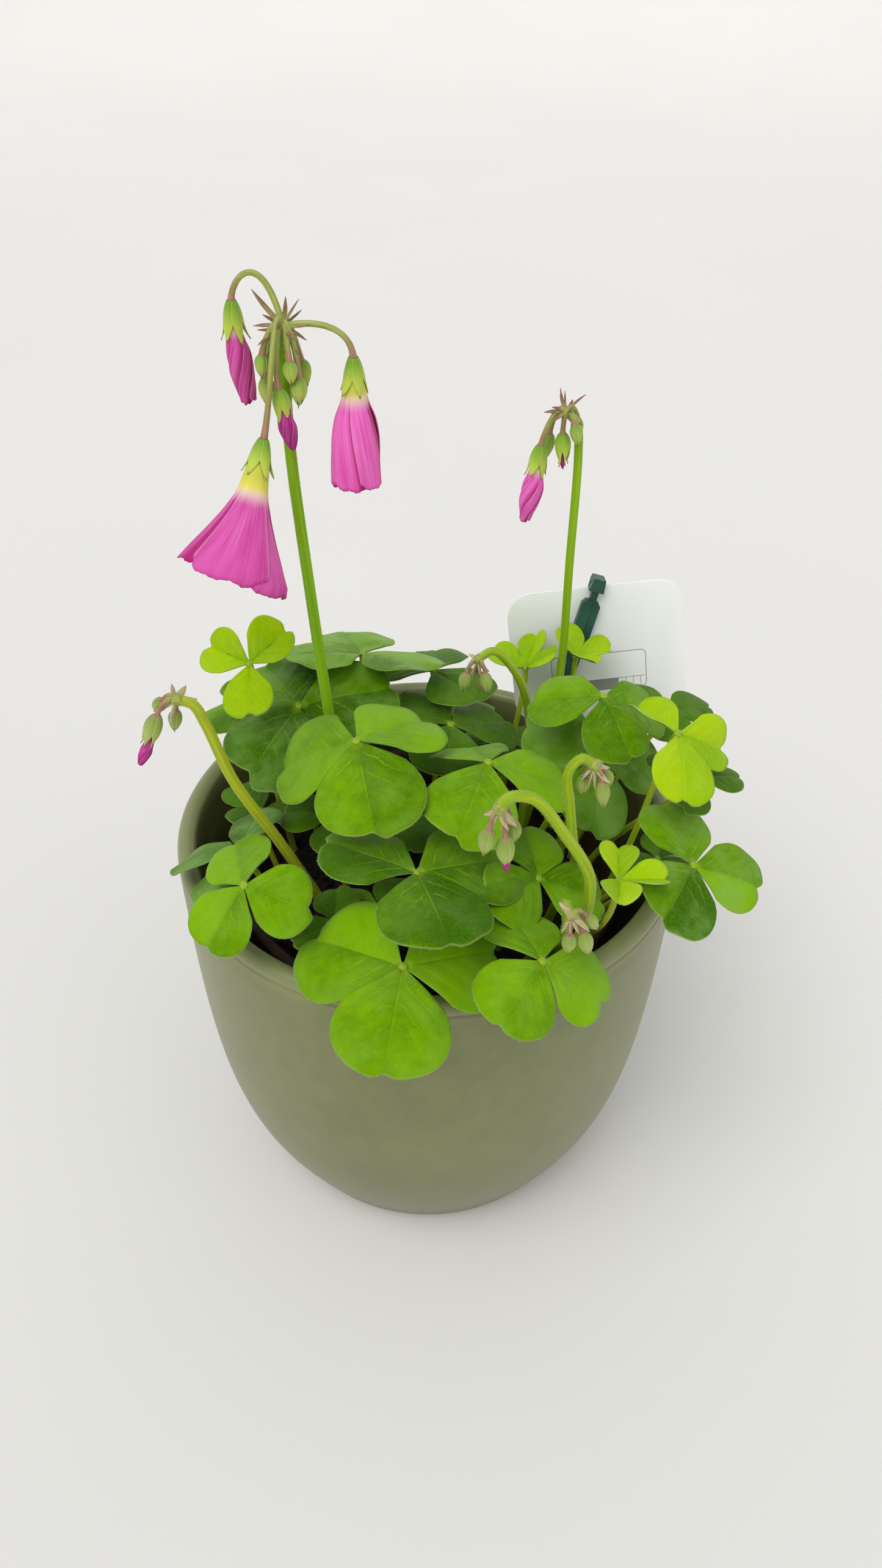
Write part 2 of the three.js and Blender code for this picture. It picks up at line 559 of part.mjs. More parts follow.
// An upright slab: its outline in the card's plane, from y = front to y = back.
function slab(outline, front, back) {
  const shape = new THREE.Shape(outline.map(([x, z]) => new THREE.Vector2(x, z)));
  const solid = new THREE.ExtrudeGeometry(shape, { depth: back - front, bevelEnabled: false });
  return toSolid(solid.rotateX(Math.PI / 2).translate(0, back, 0));
}

function stakeSolid() {
  const front = -gap - 2.4;
  const behind = cardSize[2] + gap;
  const bridge = 1.4;
  return fuse([
    slab([[-2.3, -1], [2.3, -1], [1.8, 3], [-1.8, 3]], front - 0.4, -gap),
    slab([[-2.1, bridge], [2.1, bridge], [1.8, 3], [-1.8, 3]], -gap - 1, behind + 1.6),
    slab([[-1.8, -12], [1.8, -12], [2, 2], [-2, 2]], behind, behind + 1.6),
    slab([[-1, -4.5], [1, -4.5], [1, 0], [-1, 0]], front + 0.5, -gap),
    slab([[-3, -5.4], [-2, -4], [0, -4], [0.4, -18], [-3, -18]], front - 0.3, -gap),
    slab([[0, -4.2], [1.9, -4.2], [2.8, -5.4], [2.8, -18], [0, -18]], front + 0.3, -gap),
    slab([[-2.2, -17], [2.2, -17], [2.2, 6 - stakeLength], [0, -stakeLength], [-2.2, 6 - stakeLength]],
      front, -gap),
  ]);
}

function addLabel() {
  const label = new THREE.Group();
  label.position.set(...cardAt);
  label.rotation.x = -THREE.MathUtils.degToRad(cardLean);
  part.add(label);
  addPiece('label_card', cardGeometry(), whitePlastic, label);
  const stake = addPiece('label_stake', toGeometry(stakeSolid()), greenPlastic, label);
  stake.rotation.y = THREE.MathUtils.degToRad(stakeTilt);
  stake.position.x = 0.6;
  label.updateMatrixWorld(true);
  const slot = new THREE.BoxGeometry(4.4 + 2 * gap, 2.4 + 2 * gap, 30);
  slot.translate(0, -gap - 1.2, 15 - gap - stakeLength).applyMatrix4(stake.matrixWorld);
  holes.push(toSolid(slot));
}

// --- build --------------------------------------------------------------------------------
coverPot();
nurseryPot();
leaves.forEach(addLeaf);
stalks.forEach(addStalk);
for (const flower of flowers) addPiece(flower.name, toGeometry(corollaSolid(flower)), flower.material);
addLabel();
addPiece('soil', toGeometry(soilBlock().subtract(wasm.Manifold.union(holes))), peat);

export default part;
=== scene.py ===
# A purple-flowered shamrock in its nursery pot and cover pot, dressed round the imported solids.
# Shapes are worked out in millimetres, in the frame of the solids. Piece.make turns them into metres.
from functools import cache
from math import atan2, cos, degrees, pi, radians, sin, sqrt

import bpy
import numpy as np
from mathutils import Matrix, Vector


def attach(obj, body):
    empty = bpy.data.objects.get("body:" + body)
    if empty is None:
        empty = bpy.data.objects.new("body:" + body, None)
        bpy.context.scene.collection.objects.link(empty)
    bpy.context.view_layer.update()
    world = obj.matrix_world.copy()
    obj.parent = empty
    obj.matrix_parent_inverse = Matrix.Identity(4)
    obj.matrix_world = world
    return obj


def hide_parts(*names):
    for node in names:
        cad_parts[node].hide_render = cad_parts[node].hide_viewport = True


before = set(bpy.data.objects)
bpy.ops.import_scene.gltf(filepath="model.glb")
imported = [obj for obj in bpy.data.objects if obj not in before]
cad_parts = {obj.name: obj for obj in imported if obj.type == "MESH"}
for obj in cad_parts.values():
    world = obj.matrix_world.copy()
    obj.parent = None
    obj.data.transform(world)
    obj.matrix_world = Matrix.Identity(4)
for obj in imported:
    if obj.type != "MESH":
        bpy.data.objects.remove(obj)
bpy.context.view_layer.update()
rng = np.random.default_rng(11)
up = np.array([0.0, 0.0, 1.0])
print("frame loaded:", len(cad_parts), "nodes")


# shader wires and finishes

# a maths node between two values as a method, and its reflected form
def operators(operation):
    return (lambda wire, other: wire.maths(operation, wire, other),
            lambda wire, other: wire.maths(operation, other, wire))


class Wire:
    # one shader value, so that maths on it reads as maths
    __add__, __radd__ = operators("ADD")
    __sub__, __rsub__ = operators("SUBTRACT")
    __mul__, __rmul__ = operators("MULTIPLY")
    __truediv__, __rtruediv__ = operators("DIVIDE")
    __pow__, __rpow__ = operators("POWER")
    __mod__, __rmod__ = operators("FLOORED_MODULO")
    most, least = operators("MAXIMUM")[0], operators("MINIMUM")[0]

    def __init__(self, finish, socket):
        self.finish = finish
        self.socket = socket

    def __abs__(self):
        return self.maths("ABSOLUTE", self)

    def maths(self, operation, *values):
        return self.finish.node("Math", {"operation": operation}, dict(enumerate(values)))

    # 0 below low, 1 above high, and smooth between; high below low turns it over
    def step(self, low, high):
        links = {"Value": self, "From Min": low, "From Max": high}
        return self.finish.node("MapRange", {"interpolation_type": "SMOOTHSTEP"}, links)


# screen values from 0 to 255 to a linear shader colour
def linear(colour):
    values = [(v / 255 + 0.055) / 1.055 for v in colour]
    return tuple(v ** 2.4 if v > 0.0925 else (v * 1.055 - 0.055) / 12.92 for v in values) + (1.0,)


class Finish:
    # one material, and the only place where its nodes are made
    def __init__(self, name):
        self.material = bpy.data.materials.new(name)
        self.material.use_nodes = True
        self.tree = self.material.node_tree
        self.tree.nodes.clear()

    # a socket takes a wire, a number, or a colour as a tuple of screen values
    def node(self, kind, settings=(), links=(), out=0):
        made = self.tree.nodes.new("ShaderNode" + kind)
        for key, value in dict(settings).items():
            setattr(made, key, value)
        for key, value in dict(links).items():
            if isinstance(value, Wire):
                self.tree.links.new(value.socket, made.inputs[key])
            else:
                made.inputs[key].default_value = linear(value) if isinstance(value, tuple) else value
        if isinstance(out, tuple):
            return [Wire(self, made.outputs[index]) for index in out]
        return Wire(self, made.outputs[out]) if len(made.outputs) else None

    # a tint between two colours, then coats of further colours, each with its share
    def blend(self, share, low, high, *coats):
        tint = self.node("Mix", {"data_type": "RGBA"}, {0: share, 6: low, 7: high}, out=2)
        for cover, colour in coats:
            tint = self.blend(cover, tint, colour)
        return tint

    def mark(self):
        mark = self.node("Attribute", {"attribute_name": "mark"}, out=1)
        return self.node("SeparateXYZ", links={0: mark}, out=(0, 1, 2))

    def tone(self):
        return self.node("Attribute", {"attribute_name": "tone"}, out=2)

    def here(self):
        return self.node("TexCoord", out=3)

    # clouds of noise of a given scale, per metre of the object or along a vector
    def cloud(self, scale, detail=3, roughness=0.55, along=None):
        links = {"Vector": along or self.here(), "Scale": scale, "Detail": detail, "Roughness": roughness}
        return self.node("TexNoise", links=links)

    # noise drawn out along a piece, from the piece's own coordinates
    def streak(self, *place, detail=3, roughness=0.55):
        return self.cloud(1, detail, roughness, self.node("CombineXYZ", links=dict(enumerate(place))))

    def surface(self, tint, roughness, height=None, depth=0.0001, strength=0.6, **constants):
        links = {"Base Color": tint, "Roughness": roughness}
        links.update({name.replace("_", " "): value for name, value in constants.items()})
        if height is not None:
            relief = {"Height": height, "Distance": depth, "Strength": strength}
            links["Normal"] = self.node("Bump", links=relief)
        self.node("OutputMaterial", links={"Surface": self.node("BsdfPrincipled", links=links)})
        return self.material


# mesh helpers

def unit(vector):
    vector = np.asarray(vector, float)
    return vector / np.maximum(np.linalg.norm(vector, axis=-1, keepdims=True), 1e-9)


def stacked(*parts):
    return np.stack(np.broadcast_arrays(*parts), -1)


# angles all round, for a ring with a number of sides
def circle(sides):
    return np.linspace(0, 2 * pi, sides, endpoint=False)


# unit spokes at some angles between two sides
def spun(turn, first, second):
    return np.cos(turn)[..., None] * first + np.sin(turn)[..., None] * second


# two values or two sides, turned into each other by an angle
def turned(first, second, angle):
    return first * cos(angle) - second * sin(angle), second * cos(angle) + first * sin(angle)


# rings of points about the Z axis, from points [radius, height]
def lathed(profile, turn):
    profile = np.asarray(profile, float)
    return stacked(profile[:, :1] * np.cos(turn), profile[:, :1] * np.sin(turn), profile[:, 1:])


def gridFaces(rows, columns, loop=False):
    i, j = np.meshgrid(np.arange(rows - 1), np.arange(columns if loop else columns - 1), indexing="ij")
    beside = (j + 1) % columns
    corners = [i * columns + j, i * columns + beside, (i + 1) * columns + beside, (i + 1) * columns + j]
    return np.stack(corners, -1).reshape(-1, 4)


# rings of points as a closed body: its wall and its two ends
def tubeFaces(rings, sides):
    ring = np.arange(sides)[None]
    return [gridFaces(rings, sides, loop=True), ring[:, ::-1], ring + (rings - 1) * sides]


class Piece:
    # patches of mesh, in millimetres, that end up in one object
    def __init__(self):
        self.points, self.marks, self.tones, self.faces = [], [], [], []
        self.count = 0

    def add(self, points, faces, finish, marks=0.0, tone=0.0):
        points = np.asarray(points, float).reshape(-1, 3)
        marks = np.asarray(marks, float)
        self.points.append(points)
        self.marks.append(np.broadcast_to(marks.reshape(-1, 3) if marks.ndim else marks, points.shape))
        self.tones.append(np.broadcast_to(np.ravel(tone), len(points)))
        self.faces += [(block + self.count, finish) for block in faces]
        self.count += len(points)

    # a thin shell: the grid moved both ways along its normals, closed all round
    def addSheet(self, grid, half, finish, marks, tone):
        rows, columns = grid.shape[:2]
        normal = unit(np.cross(np.gradient(grid, axis=1), np.gradient(grid, axis=0)))
        half = np.broadcast_to(half, (rows, columns))[..., None]
        count = rows * columns
        quads = gridFaces(rows, columns)
        edge = np.concatenate([
            np.arange(columns), np.arange(1, rows) * columns + columns - 1,
            (rows - 1) * columns + np.arange(columns - 2, -1, -1), np.arange(rows - 2, 0, -1) * columns])
        after = np.roll(edge, -1)
        rim = np.stack([edge + count, after + count, after, edge], -1)
        both = np.stack([marks, marks + np.array([0, 0, 2.0])])
        tones = np.broadcast_to(tone, (2, rows, columns))
        self.add(np.stack([grid + normal * half, grid - normal * half]),
                 [quads, quads[:, ::-1] + count, rim], finish, both, tones)

    # a closed rod along a line of points; wide scales its first side
    def addRod(self, line, radii, sides, finish, tone=0.0, wide=1.0):
        tangent = unit(np.gradient(line, axis=0))
        side = unit(np.cross(tangent[0], [0.31, 0.83, 0.46]))
        spokes = []
        for ahead in tangent:
            side = unit(side - ahead * (side @ ahead))
            spokes.append(side)
        spokes = np.array(spokes)
        turn = circle(sides)
        ring = spun(turn, spokes[:, None] * wide, np.cross(tangent, spokes)[:, None])
        marks = stacked(np.linspace(0, 1, len(line))[:, None], turn / (2 * pi), 0.0)
        points = line[:, None] + ring * np.reshape(radii, (-1, 1, 1))
        self.add(points, tubeFaces(len(line), sides), finish, marks, tone)

    # short hairs from roots, each a closed cone of three sides
    def addHairs(self, roots, ways, length, thick):
        ways = unit(ways)
        first = unit(np.cross(ways, [0.28, 0.52, 0.81]))
        second = np.cross(ways, first)
        base = [roots + thick * (cos(a) * first + sin(a) * second) for a in circle(3)]
        points = np.stack([*base, roots + ways * length[:, None]], 1)
        start = 4 * np.arange(len(roots))[:, None]
        faces = [start + corners for corners in ([0, 1, 3], [1, 2, 3], [2, 0, 3], [0, 2, 1])]
        self.add(points, faces, hairs)

    # a lathe about the Z axis, whose profile starts and ends near the axis
    def addLathe(self, profile, sides, finish):
        self.add(lathed(profile, circle(sides)), tubeFaces(len(profile), sides), finish)

    def make(self, name, slotName, *nodes):
        finishes = list(dict.fromkeys(finish for _, finish in self.faces))
        kinds = [finishes.index(finish) for block, finish in self.faces for _ in block]
        mesh = bpy.data.meshes.new(name)
        faces = [corners for block, _ in self.faces for corners in block.tolist()]
        mesh.from_pydata((np.concatenate(self.points) * 0.001).tolist(), [], faces)
        mesh.polygons.foreach_set("material_index", kinds)
        mark = mesh.attributes.new("mark", "FLOAT_VECTOR", "POINT")
        mark.data.foreach_set("vector", np.concatenate(self.marks).ravel())
        tone = mesh.attributes.new("tone", "FLOAT", "POINT")
        tone.data.foreach_set("value", np.concatenate(self.tones))
        for finish in finishes:
            mesh.materials.append(finish)
        mesh.shade_smooth()
        mesh.validate()
        made = addObject(name, mesh)
        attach(made, "root")
        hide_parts(*nodes)


def addObject(name, data):
    made = bpy.data.objects.new(name, data)
    bpy.context.scene.collection.objects.link(made)
    return made


def bezier(a, b, c, d, count):
    t = np.linspace(0, 1, count)[:, None]
    a, b, c, d = np.array([a, b, c, d], float)
    return a * (1 - t) ** 3 + 3 * b * t * (1 - t) ** 2 + 3 * c * t * t * (1 - t) + d * t ** 3


# a smooth line through points, with centripetal spacing
def thread(path, perSpan):
    path = np.asarray(path, float)
    ends = np.vstack([2 * path[0] - path[1], path, 2 * path[-1] - path[-2]])
    line = []
    for p0, p1, p2, p3 in zip(ends, ends[1:], ends[2:], ends[3:]):
        d0, d1, d2 = (max(np.linalg.norm(q - p), 1e-6) ** 0.5 for p, q in ((p0, p1), (p1, p2), (p2, p3)))
        leave = ((p1 - p0) / d0 - (p2 - p0) / (d0 + d1) + (p2 - p1) / d1) * d1
        arrive = ((p2 - p1) / d1 - (p3 - p1) / (d1 + d2) + (p3 - p2) / d2) * d1
        t = np.linspace(0, 1, perSpan, endpoint=False)[:, None]
        line.append(p1 + leave * t + (3 * (p2 - p1) - 2 * leave - arrive) * t ** 2
                    + (2 * (p1 - p2) + leave + arrive) * t ** 3)
    return np.vstack([*line, path[-1:]])


# a span's length and axis, and two sides square to it, turned from X and Y the short way
def spanOf(start, end):
    way = np.subtract(end, start)
    length = np.linalg.norm(way)
    turn = Vector((0, 0, 1)).rotation_difference(Vector(way / length)).to_matrix()
    return length, way / length, *np.array(turn).T[:2]


# finishes of the leaves and stalks

# the upper face's dark and light green, and the underside's green; the shade kind's darker greens are painted
# shade for the low leaves that lie under the others
leafColours = {
    "mature": [(52, 98, 0), (130, 182, 4), (132, 160, 84)],
    "young": [(130, 176, 0), (180, 214, 10), (154, 190, 60)],
    "shade": [(36, 76, 2), (88, 134, 18), (112, 142, 80)],
}


# each kind and haze has one blade finish, made when it is first asked for
@cache
def leafFinish(kind, haze):
    f = Finish(f"{kind}_{round(haze * 10)}_blade")
    low, high, under = leafColours[kind]
    along, across, ring = f.mark()
    below = ring.step(1.4, 1.6)
    far = ring % 2
    side = abs(across)
    mottle = f.cloud(340, 5, 0.65)
    patches = f.cloud(75, 2)
    # side veins leave the midrib at a sharp angle and bend toward the tip
    vein = along - side * 0.75 - side * side * 0.5 + f.cloud(220) * 0.14
    rung = abs((vein / 0.2) % 1 - 0.5) * 2
    veins = rung.step(0.82, 1) * side.step(0.01, 0.08) * far.step(0.8, 0.3)
    between = rung.step(1, 0) * side.step(0.02, 0.2) * far.step(1, 0.5)
    midrib = side.step(0.016, 0.002) * far.step(1, 0.3)
    net = f.node("TexVoronoi", {"feature": "DISTANCE_TO_EDGE"}, {"Vector": f.here(), "Scale": 950})
    net = net.step(0.09, 0)
    level = f.tone() * 0.8 + mottle * 0.5 + patches * 0.7 + far * 0.16 + between * 0.1 - 0.22
    # painted sheen: pale bluish patches that stand for light glancing off the blade and its hairs, scaled by
    # haze
    paintedSheen = (f.cloud(110, 3, 0.6) + patches * 0.5).step(0.62, 0.9) * haze
    light = tuple(min(255, v + 26) for v in high)
    green = f.blend(level.step(-0.1, 1.05), low, high,
                    (paintedSheen * 0.6, (134, 176, 92)),
                    (veins * 0.34 + midrib * 0.4 + net * 0.12, light),
                    (f.cloud(3000, 2).step(0.56, 0.7) * 0.12, light),
                    (far.step(0.972, 1) * 0.4, (170, 202, 96)),
                    (far.step(0.13, 0.02) * 0.55, (172, 196, 50)))
    pale = f.blend(veins * 0.6 + midrib * 0.6 + mottle * 0.3, under, (178, 200, 130))
    relief = mottle * 0.6 + f.cloud(2600, 2) * 0.4 + between * 0.4 - net * 0.3 - veins * 0.4 - midrib * 0.4
    return f.surface(f.blend(below, green, pale), 0.4 + mottle * 0.22 + below * 0.15, relief, 0.00014, 0.7,
                     Specular_IOR_Level=0.28, Specular_Tint=(206, 236, 80), Sheen_Weight=0.06,
                     Sheen_Roughness=0.45, Sheen_Tint=(206, 226, 150))


# tone 0 is a bright green stalk, and tone 1 a yellow-green one
def stalkFinish():
    f = Finish("stalk_green")
    along, around, _ = f.mark()
    streak = f.streak(around * 12, along * 4, f.tone() * 5)
    fine = f.cloud(1500)
    bright = f.blend(streak.step(0.3, 0.7), (122, 174, 0), (146, 194, 0))
    yellow = f.blend(streak.step(0.3, 0.7), (154, 170, 8), (188, 198, 44))
    green = f.blend(f.tone(), bright, yellow, (fine.step(0.67, 0.74) * 0.5, (84, 96, 20)))
    return f.surface(green, 0.46 + fine * 0.16, streak + fine * 0.4, Specular_IOR_Level=0.3,
                     Sheen_Weight=0.16, Sheen_Roughness=0.3, Sheen_Tint=(226, 238, 160))


# the thin stalks turn mauve toward their buds, and more so at a higher tone
def pedicelFinish():
    f = Finish("pedicel_mauve")
    along, around, _ = f.mark()
    streak = f.streak(around * 9, along * 5, f.tone() * 5)
    fine = f.cloud(1800)
    green = f.blend(streak.step(0.3, 0.7), (142, 154, 56), (180, 186, 92))
    mauve = f.blend(streak.step(0.3, 0.7), (150, 100, 84), (190, 132, 116))
    tint = f.blend((along + f.tone() * 0.5 + streak * 0.2).step(0.7, 1.2), green, mauve)
    return f.surface(tint, 0.5 + fine * 0.14, streak + fine * 0.4, Sheen_Weight=0.15)


def hairFinish():
    f = Finish("pale_hairs")
    return f.surface(f.blend(f.cloud(900, 2), (200, 212, 156), (236, 240, 214)), 0.6 + f.cloud(500, 1) * 0.1)


hairs = hairFinish()
stalkGreen = stalkFinish()
pedicelMauve = pedicelFinish()
print("leaf finishes made")


# leaves

leafLook = {
    "columns": 43, "rings": 17, "half": 0.23, "edgeHalf": 0.11,
    "notch": {"mature": 0.045, "young": 0.09, "shade": 0.045}, "lopsided": 0.036,
    "wave": 0.26, "bulge": 0.3, "quilt": 0.09, "crease": 0.26,
    "marginHairs": 200, "bladeHairs": 70, "hubHairs": 40, "stalkHairs": 420,
    "marginHair": (0.15, 0.42), "bladeHair": (0.2, 0.45), "hubHair": (0.4, 0.9), "stalkHair": (0.25, 0.6),
    "stalkRadius": 1.0, "stalkRings": 44, "stalkSides": 12, "soilTop": 98, "rootDepth": 8,
}

# Hub, leaflet length, three tips as [azimuth, rise, roll], fold and root, then what differs from the usual
# leaf. Grown and tones go leaflet by leaflet, and haze is the share of painted sheen on the blade: pale
# bluish patches that stand for light glancing off the blade and its hairs.
shade = {"kind": "shade"}
# tone and tones are partly each leaf's own green and partly painted light and shade, set leaf by leaf to how
# brightly it is lit
leaves = {
    "front_low": ([-6, -73, 142], 26, [[-99, -19], [147, -12], [33, -20]], 6, [-6, -40],
        {"tilt": 24, "grown": [1.05, 1.08, 1.14], "tones": [0, 0.28, 0.3]}),
    "front_right": ([27, -71, 142], 20, [[-124, -12], [-2, -41], [111, -7]], 6, [17, -42],
        {"tilt": 16, "grown": [1.04, 1.08, 1.04], "tones": [0.25, 0.35, 0.25]}),
    "front_mid": ([-3, -51.8, 152.4], 26, [[-73, 4], [157, 2, 13], [27, -14]], 6, [6, -28],
        {"tilt": 12, "grown": [1.08, 0.98, 1.05], "tones": [-0.75, -0.5, -0.25]}),
    "left_rim": ([-45, -54, 150], 18, [[105, -5], [-18, -10], [-131, -40]], 6, [-28, -36],
        {"tilt": 15, "tones": [0.25, 0.05, 0.15]}),
    "left_under": ([-50, -31, 141], 18, [[157, -30, 15], [80, -5], [-112, -10]], 8, [-38, -22],
        {"kind": "shade", "grown": [1.22, 1, 1], "tones": [0.3, 0, 0], "haze": 0.8}),
    "centre_left": ([-18.5, -23, 171], 26, [[-77, -23], [159, -35], [46, -13]], 7, [-9, -20],
        {"tilt": 14, "grown": [1.07, 1.06, 1], "tones": [-0.08, 0.25, 0.2]}),
    "centre": ([15, -25, 166], 25, [[-109, -13], [10, -26], [105, -27]], 6, [14, -20],
        {"tilt": 15, "room": 46, "grown": [1.06, 1, 1], "tones": [0.1, 0.2, 0.1]}),
    "right_mid": ([28, -43, 142.5], 17, [[98, 4], [-6, -22], [-134, 10]], 8, [20, -26],
        {"tilt": 14, "grown": [1.12, 1.08, 1.12]}),
    "right_rim": ([66, -46, 150], 20, [[106, 14], [1, -24], [-119, -3]], 8, [42, -22],
        {"tilt": 8, "grown": [1, 1, 1.08], "tones": [-0.05, 0, -0.45], "haze": 0.6}),
    "right_young": ([46, -55, 153.2], 12, [[85, 3], [-7, 6], [-98, 13]], 36, [30, -22],
        {"room": 40, "lean": [48, -39], "kind": "young"}),
    "right_bright": ([61.6, -27.2, 177], 17, [[135, 2, 30], [14, -30], [-88, -32]], [34, 20, 14], [43, -12],
        {"tilt": 20, "room": 48, "lean": [61, -17], "kind": "young", "grown": [0.82, 0.95, 1.12]}),
    "right_top": ([46, -5, 173], 20, [[167, -14], [-72, -22], [8, -30]], 6, [40, 9],
        {"tilt": 16, "neck": 6, "lean": [46, 28], "tones": [0, -0.15, -0.1], "grown": [1, 1.04, 1]}),
    "right_dark": ([46, -6, 154], 22, [[-95, -46], [155, 10], [20, -24]], 6, [24, -8],
        {"kind": "shade", "tone": 0.85, "haze": 0.8}),
    "left_young": ([-48.5, 5, 176], 13, [[-90, -51], [150, 5], [29, 31]], [10, 34, 36], [-41, 17],
        {"room": 48, "neck": 7, "lean": [-49.5, 17], "kind": "young", "grown": [1.14, 1.06, 1.1],
         "tones": [-0.15, -0.1, -0.1]}),
    "left_back": ([-37, 11, 158], 28, [[-117, -16], [117, -5], [15, 3]], 4, [-28, 10],
        {"tilt": 8, "room": 60, "tones": [-0.75, -0.4, -0.25], "haze": 0.5}),
    "back_left": ([-20, 34, 161], 26, [[-155, 12], [106, -16], [-35, 10]], 6, [-22, 26],
        {"lean": [-28, 33], "tone": 0, "haze": 1}),
    "back_mid": ([1, 33, 156], 21, [[88, -15], [-50, 0], [147, -15]], 6, [2, 30], shade),
    "middle": ([6, 11, 152], 22, [[134, -2], [35, -20], [-95, -10]], 6, [8, 8], shade),
    "back_young": ([29, 38, 154], 12, [[160, 20], [65, 35], [-14, 38]], 22, [23, 35],
        {"neck": 8, "kind": "young"}),
    "behind_mid": ([22, 23, 137], 13, [[26, -5], [146, -5], [-94, 0]], 6, [20, 19], shade),
    "card_young": ([44, 38, 158], 11, [[120, 30], [0, 15], [-60, 20]], 28, [38, 28],
        {"neck": 8, "lean": [45, 34], "kind": "young"}),
    "low_left": ([-50, 8, 122], 14, [[-114, 15], [-10, 2], [130, 5]], 10, [-44, 2], shade),
    "under_left": ([-25, -15, 140], 16, [[170, -5], [40, 0], [-85, -5]], 6, [-24, -12], shade),
    "under_front": ([-12, -44, 131], 15, [[165, -5], [60, 0], [-120, -5]], 6, [-14, -36], {"tone": -0.1}),
    "rim_front": ([-24, -50, 134], 12, [[-150, -10], [-30, 0], [90, 0]], 6, [-22, -42], shade),
    "under_centre": ([3, -12, 140], 18, [[-117, -6], [0, 3], [135, -20]], 6, [0, -8],
        {"room": 38, "kind": "shade"}),
    "under_right": ([69, -21, 159], 14, [[10, -12], [124, -5], [-110, -5]], 6, [45, 2],
        {"room": 44, "kind": "shade"}),
    "low_right": ([62, -26, 134], 12, [[-171, -5], [-51, 5], [69, 0]], 6, [43, -15],
        {"neck": 6, "lean": [45, -15], "kind": "shade"}),
    "behind_right": ([69, 18, 153], 15, [[150, 5], [20, -10], [-90, -5]], 6, [44, 14], shade),
    "far_left": ([-50, 28, 148], 19, [[125, -8], [-155, -10], [20, 0]], 6, [-36, 26], {"tone": -0.2}),
    "back_low_left": ([-30, 52, 131], 15, [[100, 0], [-20, 5], [-140, 0]], 6, [-26, 38], shade),
    "back_low_mid": ([8, 57, 129], 16, [[70, -5], [-50, 5], [-170, 0]], 6, [10, 42], shade),
    "back_low_right": ([57, 29, 129], 11, [[0, 0], [120, 0], [-120, 0]], 6, [40, 22],
        {"neck": 5, "lean": [42, 20], "kind": "shade"}),
}

def heading(azimuth, rise, roll=0):
    turn, lift = radians(azimuth), radians(rise)
    return np.array([cos(turn) * cos(lift), sin(turn) * cos(lift), sin(lift)])


# the upward normal of the plane through the three tips, turned to the front by the leaf's tilt
def leafNormal(tips, tilt):
    a, b, c = (heading(*tip) for tip in tips)
    normal = unit(np.cross(b - a, c - a))
    x, y, z = normal if normal[2] > 0 else -normal
    return np.array([x, *turned(y, z, radians(tilt))])


# a leaflet's own axes, and the half angle that its base has on each side
def leafletAxes(tips, index, normal, widest):
    along = heading(*tips[index])
    lift = unit(normal - along * (normal @ along))
    across = np.cross(lift, along)
    room = [widest, widest]
    for other, tip in enumerate(tips):
        if other != index:
            angle = degrees(atan2(heading(*tip) @ across, heading(*tip) @ along))
            side = int(angle > 0)
            room[side] = min(room[side], abs(angle) / 2 - 1.5)
    roll = radians(tips[index][2] if len(tips[index]) > 2 else 0)
    return along, *turned(lift, across, roll), room


# heart shaped: a narrow base, round shoulders and a small notch at the tip
def leafletEdge(share, notch):
    shoulder = (1 - abs(0.85 * share) ** 3) ** 0.7
    return shoulder * (1 - notch * np.exp(-((share / (0.03 + 0.9 * notch)) ** 2)))


